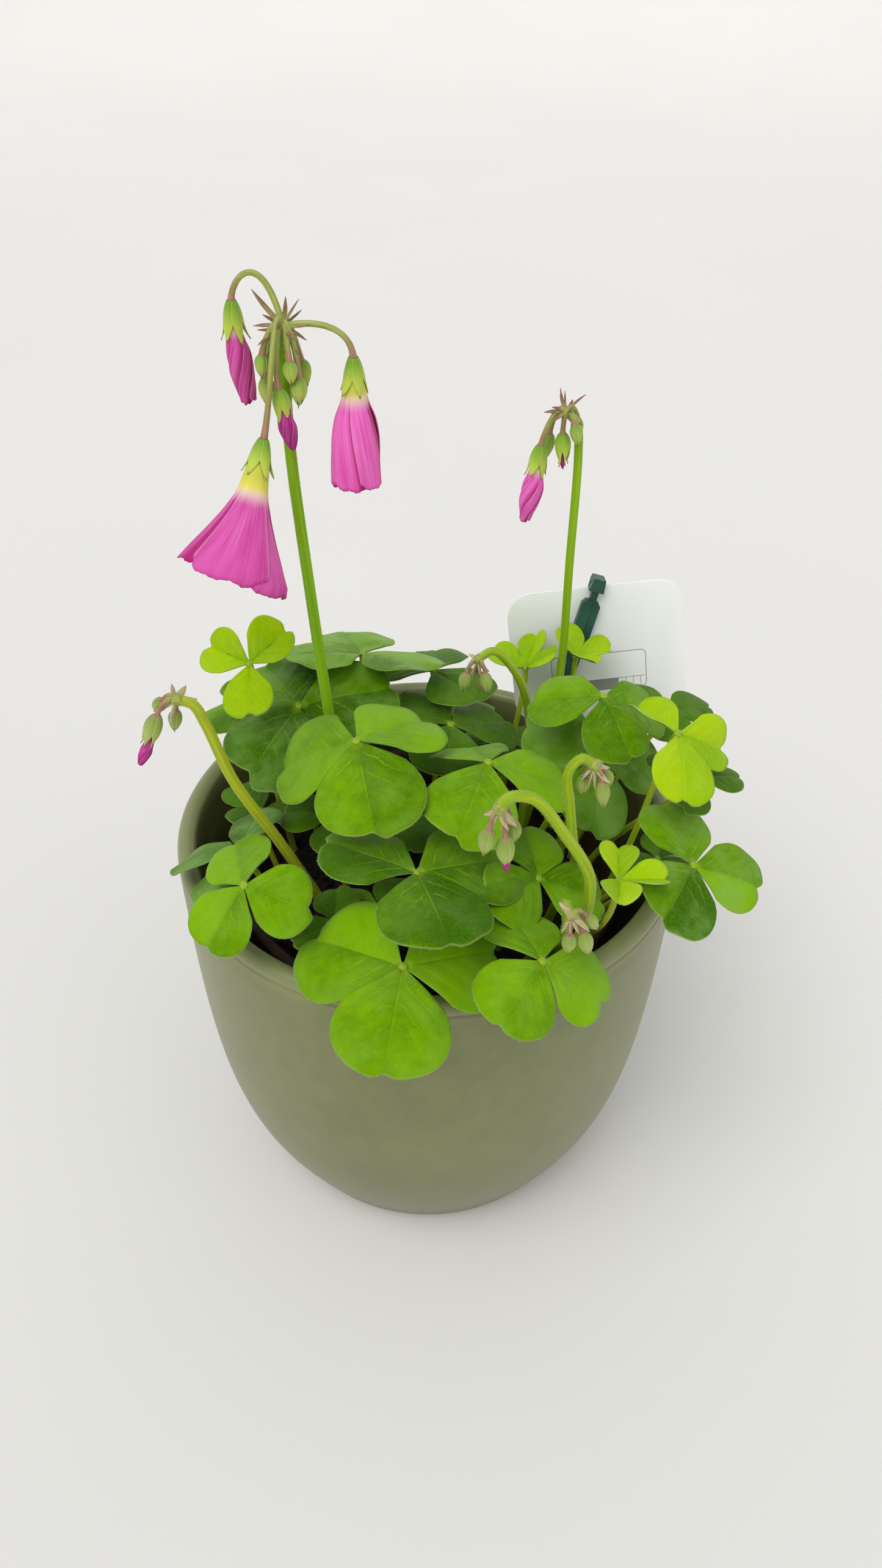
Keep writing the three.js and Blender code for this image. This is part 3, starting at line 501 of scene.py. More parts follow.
def addLeaflet(piece, blade, hub, size, fold, axes, notch, leafTone):
    along, lift, across, room = axes
    columns, rings, half = leafLook["columns"], leafLook["rings"], leafLook["half"]
    spread = np.linspace(1, -1, columns)
    share = np.sign(spread) * abs(spread) ** 1.35
    ring = np.linspace(0.03, 1, rings)[:, None] ** 0.9
    turn = np.radians(share * np.where(share > 0, room[1], room[0]))
    swirl = rng.uniform(0, 6.28, 6)
    inner = 1 - abs(share) ** 4
    wobble = 0.004 * np.sin(7 * turn + swirl[0]) + 0.0015 * np.sin(23 * turn + swirl[1])
    lopsided = rng.normal(0, leafLook["lopsided"]) * np.tanh(share / 0.05)
    reach = size * leafletEdge(share, notch) * (1 + (wobble + lopsided) * inner)
    x, y = ring * reach * np.cos(turn), ring * reach * np.sin(turn)
    flat = abs(y)
    # each half folds up from the midrib by its own angle, then curves over
    rise = np.radians(fold + rng.normal(0, 2) * np.tanh(y / 0.6))
    height = (np.sqrt(flat ** 2 + 0.05) - 0.22) * np.tan(rise) - 0.35 * y ** 2 / size
    height = height + 0.12 * x * (1 - x / size)
    vein = x / size - 0.75 * flat / size - 0.5 * (flat / size) ** 2
    quilt = leafLook["quilt"] * np.cos(2 * pi * vein / 0.2) * np.clip(flat / 2, 0, 1)
    crease = leafLook["crease"] * np.exp(-(y / 0.35) ** 2) * (0.35 + 0.65 * (1 - ring))
    bulge = np.sin(0.42 * x + 0.2 * y + swirl[2]) + np.sin(0.5 * y - 0.3 * x + swirl[3])
    wave = leafLook["wave"] * ring ** 4 * np.sin(3 * turn + swirl[4]) * rng.uniform(0.3, 1)
    height = height + quilt * (1 - ring ** 6) - crease + wave * inner + leafLook["bulge"] * bulge * ring ** 2
    grid = hub + x[..., None] * along + y[..., None] * across + height[..., None] * lift
    marks = stacked(x / size, y / size, ring * 0.998)
    # a small random tone for the leaflet, and one that lightens one half and darkens the other: painted shade
    # across the midrib fold
    tone = leafTone + rng.normal(0, 0.06) + rng.normal(0, 0.14) * np.tanh(y / 0.4)
    piece.addSheet(grid, half + (leafLook["edgeHalf"] - half) * ring ** 4, blade, marks, tone)
    # pale hairs along the margin and on the upper face
    place = rng.uniform(0, columns - 1.001, leafLook["marginHairs"])
    before = place.astype(int)
    part = (place - before)[:, None]
    roots = grid[-1, before] * (1 - part) + grid[-1, before + 1] * part
    ways = unit(grid[-1, before] - grid[-3, before]) + rng.normal(0, 0.25, roots.shape)
    piece.addHairs(roots, ways, rng.uniform(*leafLook["marginHair"], len(roots)), 0.024)
    i = rng.integers(3, rings - 1, leafLook["bladeHairs"])
    j = rng.integers(1, columns - 1, leafLook["bladeHairs"])
    roots = grid[i, j] + lift * 0.1
    ways = lift + rng.normal(0, 0.4, roots.shape)
    piece.addHairs(roots, ways, rng.uniform(*leafLook["bladeHair"], len(roots)), 0.018)


# hairs that stand out all round a rod
def addFuzz(piece, line, radii, count, low, high):
    place = rng.integers(1, len(line) - 1, count)
    ahead = unit(line[place + 1] - line[place - 1])
    way = rng.normal(0, 1, (count, 3))
    way = unit(way - ahead * np.sum(way * ahead, 1, keepdims=True))
    slide = rng.uniform(-0.5, 0.5, (count, 1)) * (line[place + 1] - line[place])
    roots = line[place] + slide + way * radii[place][:, None] * 0.92
    piece.addHairs(roots, way + rng.normal(0, 0.3, (count, 3)), rng.uniform(low, high, count), 0.03)


def makeLeaf(name, hub, size, tips, fold, root, kind="mature", tilt=0, room=52, neck=14, lean=None,
             grown=(1, 1, 1), tones=(0, 0, 0), tone=0, haze=0.2):
    normal = leafNormal(tips, tilt)
    foot = np.array([*root, leafLook["soilTop"] - leafLook["rootDepth"]])
    tall = hub[2] + 0.9 * normal[2] - foot[2]
    knee = [*(lean or root), foot[2] + 0.45 * tall]
    line = bezier(foot, knee, hub + normal * (0.9 - neck), hub + normal * 0.3, leafLook["stalkRings"])
    piece = Piece()
    blade, notch = leafFinish(kind, haze), leafLook["notch"][kind]
    tone = tone + rng.normal(0, 0.05)
    for index, bend in enumerate(np.broadcast_to(fold, 3)):
        axes = leafletAxes(tips, index, normal, room)
        addLeaflet(piece, blade, hub, size * grown[index], bend, axes, notch, tone + tones[index])
    share = np.linspace(0, 1, len(line))
    radii = leafLook["stalkRadius"] * (1.05 - 0.35 * share + 0.35 * np.exp(-((share - 0.985) / 0.02) ** 2))
    piece.addRod(line, radii, leafLook["stalkSides"], stalkGreen, rng.uniform(0.5, 1))
    # a small knob where the three leaflets meet
    knob = hub + np.outer([-0.9, 0.1, 0.4, 0.55], normal)
    piece.addRod(knob, [0.7, 1.15, 0.8, 0.25], leafLook["stalkSides"], stalkGreen, 0.3)
    addFuzz(piece, line, radii, leafLook["stalkHairs"], *leafLook["stalkHair"])
    count = leafLook["hubHairs"]
    spray = unit(rng.normal(0, 1, (count, 3)) + normal * 1.2)
    piece.addHairs(hub + spray * 0.8, spray, rng.uniform(*leafLook["hubHair"], count), 0.026)
    piece.make("shamrock_leaf_" + name, kind + "_leaf", "leaf_" + name)


for name, (*row, extra) in leaves.items():
    makeLeaf(name, *row, **extra)
print("leaves made:", len(leaves))


# flower stalks, with bracts, thin stalks and calyxes

flowerLook = {
    "sides": 14, "perSpan": 14, "hairsPerMm": 11,
    "pedicel": 0.6, "pedicelRings": 30, "pedicelSides": 10, "pedicelHairsPerMm": 16,
    "sepals": 5, "sepalRows": 17, "sepalColumns": 11, "coreRings": 12, "bractRings": 12, "bractSides": 10,
}

# Radius, tone, the path from the soil to the node, the buds as [top, tip, radius, cup, arch, out], whose last
# three have usual values in addBud, and the bracts as [azimuth, rise, length, width]. Cup is 1 for an open
# bell of sepals and 0 for a shut one.
flowerStalks = {
    "main": (1.6, 0.0, [[-20, 2, 90], [-23, 1, 125], [-27, 0, 160], [-30.6, 2, 200], [-33.4, 4, 240],
        [-33, 4, 265]],
        [[[-44.5, 8, 269.3], [-44.5, 8, 262], 2.35, 0.9, 1.35],
        [[-17.5, 2, 259], [-17.5, 2, 252], 2.5, 1, 0.12, 0.5],
        [[-38, -5, 242.7], [-39.7, -7.2, 236.2], 2.6, 1],
        [[-34.5, 0, 252.5], [-33.6, 0, 246.3], 2.1, 0.6, 0.3],
        [[-37.6, 5, 253.6], [-38, 5, 247], 1.7, 0, 0.3], [[-30, 2, 254.5], [-30.2, 1, 248.3], 1.75],
        [[-34, 9, 252], [-34, 9, 245], 1.8], [[-30, 9, 256], [-29, 10, 250], 1.6],
        [[-37.8, 2, 259.5], [-38.3, 2, 254.5], 1.5, 0, 0.3],
        [[-31.7, 0.6, 258.6], [-31.5, 0, 253.5], 1.5, 0, 0.3]],
        [[178, 48, 9.4, 0.75], [4, 58, 6.4, 0.75], [186, 6, 6, 0.55], [205, -26, 6.6, 0.6],
        [-15, 4, 7.6, 0.55], [-30, -50, 6.2, 0.6], [-100, 20, 4.4, 0.6], [80, 40, 6.4, 0.65],
        [120, -10, 5.4, 0.6], [165, 25, 4.6, 0.5], [196, -12, 5.2, 0.5], [-62, -18, 4.8, 0.5],
        [28, 30, 5, 0.5], [-130, -40, 4.6, 0.6], [-8, -24, 5.4, 0.5]]),
    "right": (1.3, 0.2, [[28, 26, 90], [36, 30, 125], [39, 33, 157], [39, 34, 192], [39, 36, 224],
        [38, 36, 231], [35, 36, 234]],
        [[[29, 36, 225], [28.3, 36, 218], 2.45, 0.85], [[34.5, 36, 228.5], [35, 35, 221.5], 2.1, 0.4],
        [[38.5, 40, 231], [39, 41, 225], 1.5], [[31.5, 40, 227], [31, 41, 219.5], 1.6],
        [[37.2, 33, 232], [38.2, 32.2, 226.6], 1.4, 0, 0.4]],
        [[165, 66, 6, 0.6], [130, 74, 5, 0.5], [8, 48, 6.2, 0.65], [60, 20, 4.6, 0.55], [185, 6, 5.4, 0.6],
        [-150, -20, 4.4, 0.6], [-70, 30, 4, 0.6], [-8, -30, 5, 0.55], [110, 35, 4.6, 0.6],
        [-100, -50, 4, 0.6], [200, 30, 4, 0.5]]),
    "left": (1.5, 1.0, [[-20, -20, 90], [-28, -27, 115], [-39, -32, 145], [-48.6, -34, 167],
        [-53.5, -34, 184], [-55.8, -34, 189.5], [-59.5, -34, 191]],
        [[[-64, -36, 188], [-67, -36.9, 180.7], 2.15, 0.45], [[-61, -30, 185], [-62.5, -29, 178.5], 1.5],
        [[-63.5, -31.5, 189], [-66, -30, 185], 1.5]],
        [[150, 72, 3.6, 0.7], [190, -35, 4.6, 0.8], [230, -60, 6.4, 1.1], [0, -10, 4.4, 1.0],
        [60, 20, 3.6, 0.9], [100, -30, 4.4, 0.9]]),
    "back": (1.3, 0.5, [[26, 16, 90], [30, 18, 130], [28, 15, 156], [23, 11, 171], [17, 9, 178],
        [13, 8, 176]],
        [[[10, 6, 173], [9, 6, 167], 1.5], [[13, 10, 171], [14, 11, 164], 1.6],
        [[15, 6, 173], [16, 5, 167], 1.5]],
        [[170, -50, 5, 0.6], [215, -66, 5.2, 0.7], [-60, -70, 5.4, 0.7], [0, -60, 5, 0.7],
        [90, -50, 4.8, 0.6], [130, 0, 3.4, 0.5]]),
    "centre": (1.5, 0.5, [[31, -34, 90], [33, -39, 112], [37, -53, 129], [38, -60, 146], [37, -64, 163],
        [30, -67, 178], [22, -69, 190], [17, -70, 191], [15, -70, 188]],
        [[[13, -71, 183], [12, -71, 176], 1.75], [[16.5, -71, 181], [17, -71, 172.5], 1.9],
        [[18, -67, 182], [19, -66, 175.5], 1.75]],
        [[176, -40, 3.6, 0.8], [205, -74, 5, 0.8], [12, -56, 6.6, 1.2], [-40, -68, 5, 0.9],
        [90, -60, 5, 0.9]]),
    "hook": (1.4, 0.5, [[32, -16, 90], [37, -26, 122], [39, -32, 140], [36, -42, 154], [34, -43, 168],
        [33, -43, 177], [36, -43, 181], [39, -43, 179]],
        [[[41, -44, 175], [42, -45, 168], 1.6], [[37, -42, 175], [37, -41, 169], 1.5],
        [[42, -40, 175], [44, -39, 170], 1.5]],
        [[185, -50, 4.6, 0.7], [225, -72, 6, 0.8], [-25, -52, 5.6, 0.8], [-75, -74, 6, 0.8],
        [60, -60, 5, 0.8], [10, -20, 3.6, 0.6]]),
    "front": (1.2, 0.5, [[24, -32, 90], [29, -42, 115], [34, -56, 137], [32, -66, 156], [33, -69, 155]],
        [[[33, -70, 150], [33, -70, 144], 1.6], [[36, -69, 150], [38, -70, 143.5], 1.7],
        [[37, -66, 152], [40, -66, 148], 1.5]],
        [[170, 58, 4.4, 1.1], [205, -60, 4.6, 0.8], [-90, -72, 5, 0.8], [-12, -34, 5.6, 0.8],
        [-30, -60, 5, 0.8], [60, -20, 4, 0.8]]),
}


# shut petals that show at the tips of some buds, as [start, end, radius]
petalTips = {
    "right": [[34.7, 35.2, 223], [35.1, 34.8, 218.9], 0.85],
    "centre": [[16.9, -71, 175], [17.2, -71.2, 170.8], 0.95],
}


# tone 0 is the firm green calyx of a flower, and tone 1 the pale one of a young bud
def sepalFinish():
    f = Finish("sepal_green")
    across, far, _ = f.mark()
    tone = f.tone()
    streak = f.streak(across * 5, far * 1.6, tone * 9)
    fine = f.cloud(1500)
    firm = f.blend((far + streak * 0.4).step(0.2, 0.9), (114, 164, 22), (194, 214, 76))
    young = f.blend((far + streak * 0.3).step(0.1, 0.8), (124, 156, 58), (178, 190, 104))
    green = f.blend(tone, firm, young,
                    (streak.step(0.5, 0.75) * 0.25, (86, 126, 30)),
                    (abs(across).step(0.8, 1) * 0.35, (214, 220, 150)),
                    (far.step(0.16, 0) * tone * 0.6, (190, 120, 120)),
                    (far.step(0.88, 1) * 0.8, (140, 104, 70)))
    relief = streak + fine * 0.5
    return f.surface(green, 0.46 + fine * 0.12, relief, Sheen_Weight=0.12, Specular_IOR_Level=0.35)


def bractFinish():
    f = Finish("bract_mauve")
    along, around, _ = f.mark()
    streak = f.streak(around * 9, along * 2, f.tone() * 9)
    pale = f.blend(streak.step(0.3, 0.7), (180, 158, 112), (214, 208, 160))
    tint = f.blend(along.step(0.1, 0.7), (176, 168, 96), (136, 92, 72),
                   (streak.step(0.4, 0.7) * 0.5, (176, 132, 104)), (f.tone(), pale))
    return f.surface(tint, 0.55 + streak * 0.1, streak)


# the wrapped petals that show at the tip of a bud
def tipFinish():
    f = Finish("bud_tip_pink")
    along, around, _ = f.mark()
    streak = f.streak(around * 8 + along, along * 2)
    tint = f.blend(streak.step(0.3, 0.7), (150, 24, 112), (206, 62, 158))
    return f.surface(tint, 0.44 + streak * 0.1, streak, Specular_IOR_Level=0.3)


sepalGreen = sepalFinish()
bractMauve = bractFinish()
tipPink = tipFinish()


# the radius along a bud, from a shut spindle at cup 0 to an open bell at cup 1
def budRadius(far, radius, cup):
    far = np.clip(far, 0.004, 0.999)
    shut = np.sin(pi * far ** 0.75) ** 0.8
    bell = 0.36 + 0.64 * np.sin(pi / 2 * far ** 0.85)
    return radius * (shut + (bell - shut) * cup)


# five pointed sepals that wrap the bud and part near their tips, and a core that closes it
def addCalyx(piece, top, tip, radius, cup, tone):
    length, axis, first, second = spanOf(top, tip)
    sepals = flowerLook["sepals"]
    far = np.linspace(0, 1, flowerLook["sepalRows"])[:, None]
    across = np.linspace(-1, 1, flowerLook["sepalColumns"])
    start = rng.uniform(0, 360 / sepals)
    part = 0.48 if cup else 0.72
    taper = np.clip((far - part) / (1 - part), 0, 1)
    for index in range(sepals):
        turn = start + 360 / sepals * index + across * (43 * (1 - taper ** 0.9) + 1.4 * (1 - taper)) + 8 * far
        reach = (1.04 + 0.16 * min(cup * 2, 1)) * far * (1 + 0.07 * rng.uniform(-1, 1) * far)
        wide = budRadius(reach, radius, cup) + 0.1 * across + 0.14 * (1 - abs(across)) ** 2 * (1 - taper)
        wide = wide + (0.2 + cup * rng.uniform(0.3, 1.5)) * taper ** 1.8
        out = spun(np.radians(turn), first, second)
        grid = top + length * reach[..., None] * axis + wide[..., None] * out
        marks = stacked(across, far, 0.0)
        piece.addSheet(grid, 0.13 - 0.05 * abs(across), sepalGreen, marks, tone + rng.uniform(-0.1, 0.1))
    core = np.linspace(0, 0.5 if cup else 0.97, flowerLook["coreRings"])
    radii = np.maximum(budRadius(core, radius, cup) * 0.82, 0.12)
    piece.addRod(top + np.outer(core * length, axis), radii, flowerLook["sides"], sepalGreen, tone)
    count = int(radius * (34 - 14 * cup))
    place, turn = rng.uniform(0.03, 0.95, (count, 1)), rng.uniform(0, 6.28, count)
    out = spun(turn, first, second)
    roots = top + place * length * axis + out * budRadius(place, radius, cup) * 0.95
    piece.addHairs(roots, out + 0.3 * axis, rng.uniform(0.25, 0.55, count), 0.022)


# a bud on its thin stalk; arch lifts the stalk's start, and out carries it away from the node
def addBud(piece, node, young, top, tip, radius, cup=0, arch=0.35, out=0.3):
    axis = unit(np.subtract(tip, top))
    reach = np.linalg.norm(top - node)
    away = (top - node) * [out, out, 0]
    line = bezier(node, node + away + up * arch * reach, top - axis * 0.4 * reach, top + axis * 0.6,
                  flowerLook["pedicelRings"])
    share = np.linspace(0, 1, len(line))
    radii = flowerLook["pedicel"] * (1.15 - 0.25 * young) * (1.05 - 0.15 * share + 0.5 * share ** 9)
    piece.addRod(line, radii, flowerLook["pedicelSides"], pedicelMauve, 0.1 + 0.6 * young)
    addFuzz(piece, line, radii, int(reach * flowerLook["pedicelHairsPerMm"]), 0.25, 0.6)
    addCalyx(piece, top, tip, radius, cup, 0 if cup and not young else 0.4 + 0.5 * young)


# a pointed bract that leaves the node and curls a little
def addBract(piece, node, stalk, tone, azimuth, rise, length, width):
    way = heading(azimuth, rise)
    bend = heading(azimuth + rng.uniform(-20, 20), rise + rng.uniform(-25, 25))
    base = node + way * stalk * 0.4
    middle = base + way * length * 0.55
    line = bezier(base, base + way * length * 0.3, middle, middle + bend * length * 0.45,
                  flowerLook["bractRings"])
    share = np.linspace(0, 1, len(line))
    radii = width * (1 - share ** 3) * (0.75 + 0.5 * share) + 0.07
    piece.addRod(line, radii, flowerLook["bractSides"], bractMauve, tone + rng.uniform(-0.15, 0.15), wide=0.4)
    addFuzz(piece, line, radii * 0.8, int(length * 10 * (0.3 + tone)), 0.2, 0.45)


def makeFlowerStalk(name, radius, tone, path, buds, bracts):
    piece = Piece()
    sides = flowerLook["sides"]
    line = thread(path, flowerLook["perSpan"])
    node = line[-1]
    radii = radius * np.linspace(1.0, 0.82, len(line))
    piece.addRod(line, radii, sides, stalkGreen, tone)
    length = np.sum(np.linalg.norm(np.diff(line, axis=0), axis=1))
    addFuzz(piece, line, radii, int(length * flowerLook["hairsPerMm"]), 0.25, 0.7)
    young = 0 if tone < 0.4 else 1
    for bract in bracts:
        addBract(piece, node, radius, 0.9 * young, *bract)
    knob = node + np.outer([-1, -0.5, 0.5, 0.9], unit(node - line[-3]) * (radius + 0.1))
    piece.addRod(knob, [radius * 0.75, radius + 0.05, radius * 0.95, radius * 0.3], sides, pedicelMauve, 0.1)
    if name in petalTips:
        start, end, wide = petalTips[name]
        radii = wide * np.sin(pi * np.linspace(0.28, 0.97, 12)) ** 0.8
        piece.addRod(np.linspace(start, end, len(radii)), radii, 12, tipPink, 0.5)
    for bud in buds:
        addBud(piece, node, young, *bud)
    piece.make("flower_stalk_" + name, "stem_green", "scape_" + name)


for name, row in flowerStalks.items():
    makeFlowerStalk(name, *row)
print("flower stalks made:", len(flowerStalks))


# petals

petalLook = {"rows": 28, "columns": 33, "half": 0.15, "inside": 4.0, "coreRings": 14, "coreSides": 16}

# The profile gives radii at shares of the length. Spin turns the flower, and twist its end. A petal has the
# degrees of its two edges, whether each lies outside (1) or inside (-1), and its length. Corner draws its
# shoulders back, the throat is yellow up to tube, and shadow is how far the painted shadow of one petal
# reaches past its edge onto the next.
bud = {"spin": 0, "corner": 0.05, "step": 0.36, "shadow": 0.5, "slot": "petal_pink"}
tip = {**bud, "petals": [[-60, 60, -1, 1, 1]] * 5, "tube": -0.9, "slot": "bud_pink",
       "pinks": [(206, 60, 156), (172, 34, 128), (118, 12, 88)]}
flowers = {
    "open": {
        **bud, "start": [-39.9, -7.5, 235.6], "end": [-46.2, -17.5, 215.3], "spin": 9, "twist": 18,
        "profile": [[-0.2, 1.7], [0, 2.7], [0.18, 3.4], [0.36, 4.9], [0.6, 7.7], [0.82, 10.6], [1, 12.8]],
        "petals": [[-50, 48, 1, 1, 1.05], [-48, 50, -1, -1, 0.98], [-56, 56, -1, 1, 1],
                   [-56, 56, -1, 1, 1.02], [-56, 56, -1, -1, 1.1]],
        "corner": 0.14, "ruffle": 0.4, "step": 0.4, "shadow": 0.16, "tube": 0.22,
        "pinks": [(228, 94, 180), (210, 70, 158), (176, 22, 112)]},
    "right": {
        **bud, "start": [-17.5, 2, 251.3], "end": [-17.7, 2, 229.5], "spin": 20, "twist": -34,
        "profile": [[-0.2, 1.7], [0, 2.6], [0.1, 3.0], [0.3, 4.4], [0.55, 5.4], [0.8, 5.75], [1, 5.8]],
        "petals": [[-54, high, -1, 1, 1] for high in (54, 54, 16, 54, 54)],
        "corner": 0.08, "ruffle": 0.16, "step": 0.44, "shadow": 0.2, "tube": 0.07,
        # its pinks are lighter than the open flower's: painted light that makes up for the shade it sits in
        "pinks": [(252, 118, 208), (242, 90, 188), (184, 14, 104)]},
    "left": {
        **bud, "start": [-44.5, 8, 261.4], "end": [-42.6, 8, 246.4], "twist": 130,
        "profile": [[-0.2, 1.5], [0, 1.9], [0.3, 2.45], [0.55, 2.4], [0.8, 1.9], [0.94, 1.5], [1, 1.35]],
        "petals": [[-62, 62, -1, 1, long] for long in (1, 0.96, 1, 0.94, 1)],
        "corner": 0.06, "ruffle": 0.2, "tube": -0.08,
        "pinks": [(228, 92, 180), (202, 56, 146), (154, 18, 96)]},
    "centre": {
        **tip, "start": [-33.5, 0, 245.7], "end": [-32, 0, 238.2], "twist": 80, "ruffle": 0, "step": 0.24,
        "profile": [[-0.5, 1.0], [0, 1.6], [0.3, 1.85], [0.6, 1.5], [0.85, 0.85], [1, 0.25]]},
    "pink_bud": {
        **bud, "start": [28.2, 36, 217.4], "end": [25.8, 36, 203.4], "spin": 20, "twist": 115,
        "profile": [[-0.3, 1.4], [0, 1.9], [0.35, 2.6], [0.6, 2.35], [0.85, 1.5], [1, 1.05]],
        "petals": [[-62, 62, -1, 1, long] for long in (1, 0.95, 1, 0.97, 1)],
        "ruffle": 0.14, "tube": -0.03, "pinks": [(255, 120, 214), (246, 92, 196), (186, 24, 124)]},
    "left_tip": {
        **tip, "start": [-67.2, -37, 179.6], "end": [-69.6, -37.8, 174.6], "twist": 70, "ruffle": 0.04,
        "step": 0.2, "shadow": 0.4, "profile": [[-0.7, 0.7], [0, 1.1], [0.3, 1.25], [0.65, 0.95], [1, 0.4]]},
}


def petalFinish(name, flower):
    f = Finish("petal_" + name)
    pale, full, deep = flower["pinks"]
    tube, shadow = flower["tube"], flower["shadow"]
    # where a petal comes out from under the next one, as a share of its half width
    border = 1 - 72 / flower["petals"][3][1]
    across, far, ring = f.mark()
    tone = f.tone()
    streak = f.streak(across * 26, far * 1.1, tone * 7, detail=4, roughness=0.6)
    broad = f.streak(across * 2.5, far * 1.5, tone * 3, detail=2, roughness=0.5)
    fine = f.cloud(2200)
    side = abs(across)
    # painted shadow: deep pink on each petal beside the edge of the petal over it, reaching in by shadow
    paintedShadow = across.step(border + shadow, border - 0.06) * far.step(0.04, 0.2) * (ring % 2).step(0.5, 0.2)
    pink = f.blend(broad.step(0.3, 0.7), pale, full,
                   (streak.step(0.46, 0.7) * 0.34, deep),
                   (streak.step(0.5, 0.3) * far.step(1, 0.4) * 0.34, (250, 176, 226)),
                   (paintedShadow * 0.9, deep),
                   # a lighter band along each edge, painted highlight on the overlapping edges, then a thin
                   # dark line at the very edge, painted shade
                   (side.step(0.86, 0.96) * 0.3, (250, 170, 222)),
                   (side.step(0.96, 1) * 0.4, deep),
                   (ring.step(1.4, 1.6) * 0.6, deep))
    edge = f.blend(streak.step(0.3, 0.7), (240, 196, 204), (248, 222, 206))
    place = far + streak * 0.14
    # a yellow throat, greener inside the calyx, then a pale edge and the pink
    tint = f.blend(streak.step(0.4, 0.62), (244, 236, 100), (212, 206, 62),
                   (far.step(tube * 0.7, 0) * 0.5, (186, 198, 74)),
                   (place.step(tube - 0.04, tube + 0.1), edge), (place.step(tube + 0.02, tube + 0.19), pink))
    return f.surface(tint, 0.5 + fine * 0.14, streak + fine * 0.35 + broad, Specular_IOR_Level=0.2,
                     Sheen_Weight=0.05, Sheen_Tint=(255, 200, 240))


# a grid of one petal: columns run round the flower, and rows from inside the calyx to its edge
def petalGrid(flower, index, swirl):
    length, axis, first, second = spanOf(flower["start"], flower["end"])
    ruffle = flower["ruffle"]
    rows = np.linspace(0, 1, petalLook["rows"])[:, None]
    across = np.linspace(-1, 1, petalLook["columns"])
    side = abs(across)
    begin = -petalLook["inside"] / length
    ragged = 0.012 * np.sin(11 * across + 2 * swirl) + 0.005 * np.sin(37 * across - swirl)
    low, high, lowEdge, highEdge, long = flower["petals"][index]
    rim = long - flower["corner"] * side ** 3.5 + ragged * min(1, 5 * ruffle)
    far = begin + (rim - begin) * rows
    settle = np.clip(far / 0.3, 0, 1)
    lobe = np.cos(pi / 2 * across)
    ripple = np.sin(2.6 * pi * across + swirl) + 0.6 * np.sin(6.3 * pi * across - 2 * swirl)
    wide = np.interp(far, *thread(flower["profile"], 12).T)
    wide = wide + flower["step"] * side * np.where(across > 0, highEdge, lowEdge) * settle
    wide = wide * (1 + 0.06 * (lobe - 0.6) * np.clip(far, 0, 1)) + ruffle * 0.5 * settle * far ** 8 * ripple
    reach = side * np.where(across > 0, high, low)
    turn = np.radians(flower["spin"] + 72 * index + reach + flower["twist"] * far)
    tall = length * far + ruffle * settle * far ** 7 * np.cos(swirl + 7 * across) * 0.4
    grid = tall[..., None] * axis + np.maximum(wide, 0.12)[..., None] * spun(turn, first, second)
    return flower["start"] + grid, stacked(across, far, 0.8 if lowEdge > 0 else 0.0)


def makeFlower(name, flower):
    piece = Piece()
    finish = petalFinish(name, flower)
    for index in range(len(flower["petals"])):
        grid, marks = petalGrid(flower, index, rng.uniform(0, 6.28))
        piece.addSheet(grid, petalLook["half"], finish, marks, rng.uniform(0, 1))
    # a shut flower has a core, so that its twisted petals leave no hole
    if abs(flower["twist"]) > 60:
        core = np.linspace(-0.2, 0.97, petalLook["coreRings"])
        radii = np.interp(core, *np.transpose(flower["profile"])) * 0.85
        line = flower["start"] + np.outer(core, np.subtract(flower["end"], flower["start"]))
        piece.addRod(line, radii, petalLook["coreSides"], finish)
    piece.make("petals_" + name, flower["slot"], "corolla_" + name)


for name, flower in flowers.items():
    makeFlower(name, flower)
print("petals made:", len(flowers))


# pots and soil

potLook = {
    "sides": 144, "height": 127, "radius": 72.5, "wall": 5.4, "floor": 6,
    "foot": [[0.5, 0.8], [41, 0.8], [42, 0.5], [43, 0.06], [44, 0], [46, 0], [47.4, 0.15], [48.6, 0.5],
             [49.8, 1.3]],
    "curve": [[50.5, 0], [64.6, 29.9], [71.3, 33.6]],
}
growerLook = {"sides": 120, "rim": 57.5, "top": 110, "foot": 41, "wall": 1.4, "floor": 6.3, "collar": 12}


def glazeFinish():
    f = Finish("sage_glaze")
    clouds = f.cloud(14, 4, 0.6)
    mottle = f.cloud(120, 4, 0.6)
    height = f.node("SeparateXYZ", links={0: f.here()}, out=2)
    tint = f.blend((clouds * 0.6 + mottle * 0.4).step(0.3, 0.7), (112, 116, 68), (128, 133, 80),
                   # painted shade: the glaze darkens towards the foot
                   (height.step(0.075, 0.005) * 0.7, (100, 102, 64)),
                   # painted highlight: a lighter band on the rounded lip above the groove
                   (height.step(0.118, 0.124) * 0.45, (146, 152, 104)),
                   (f.cloud(700, 3, 0.7).step(0.66, 0.8) * 0.3, (92, 94, 70)),
                   (height.step(0.002, 0) * 0.5, (150, 146, 120)))
    relief = clouds * 2 + mottle * 0.6 + f.cloud(1500, 2) * 0.15
    return f.surface(tint, 0.36 + mottle * 0.14, relief, 0.0003, 0.4, Coat_Weight=0.25, Coat_Roughness=0.2)


def growerFinish():
    f = Finish("brown_plastic")
    mottle = f.cloud(90, 4)
    scuffs = f.cloud(700, 4, 0.7)
    tint = f.blend(mottle.step(0.3, 0.7), (52, 32, 26), (78, 50, 40),
                   (scuffs.step(0.6, 0.8) * 0.3, (112, 84, 70)))
    return f.surface(tint, 0.5 + mottle * 0.2, scuffs, strength=0.5)


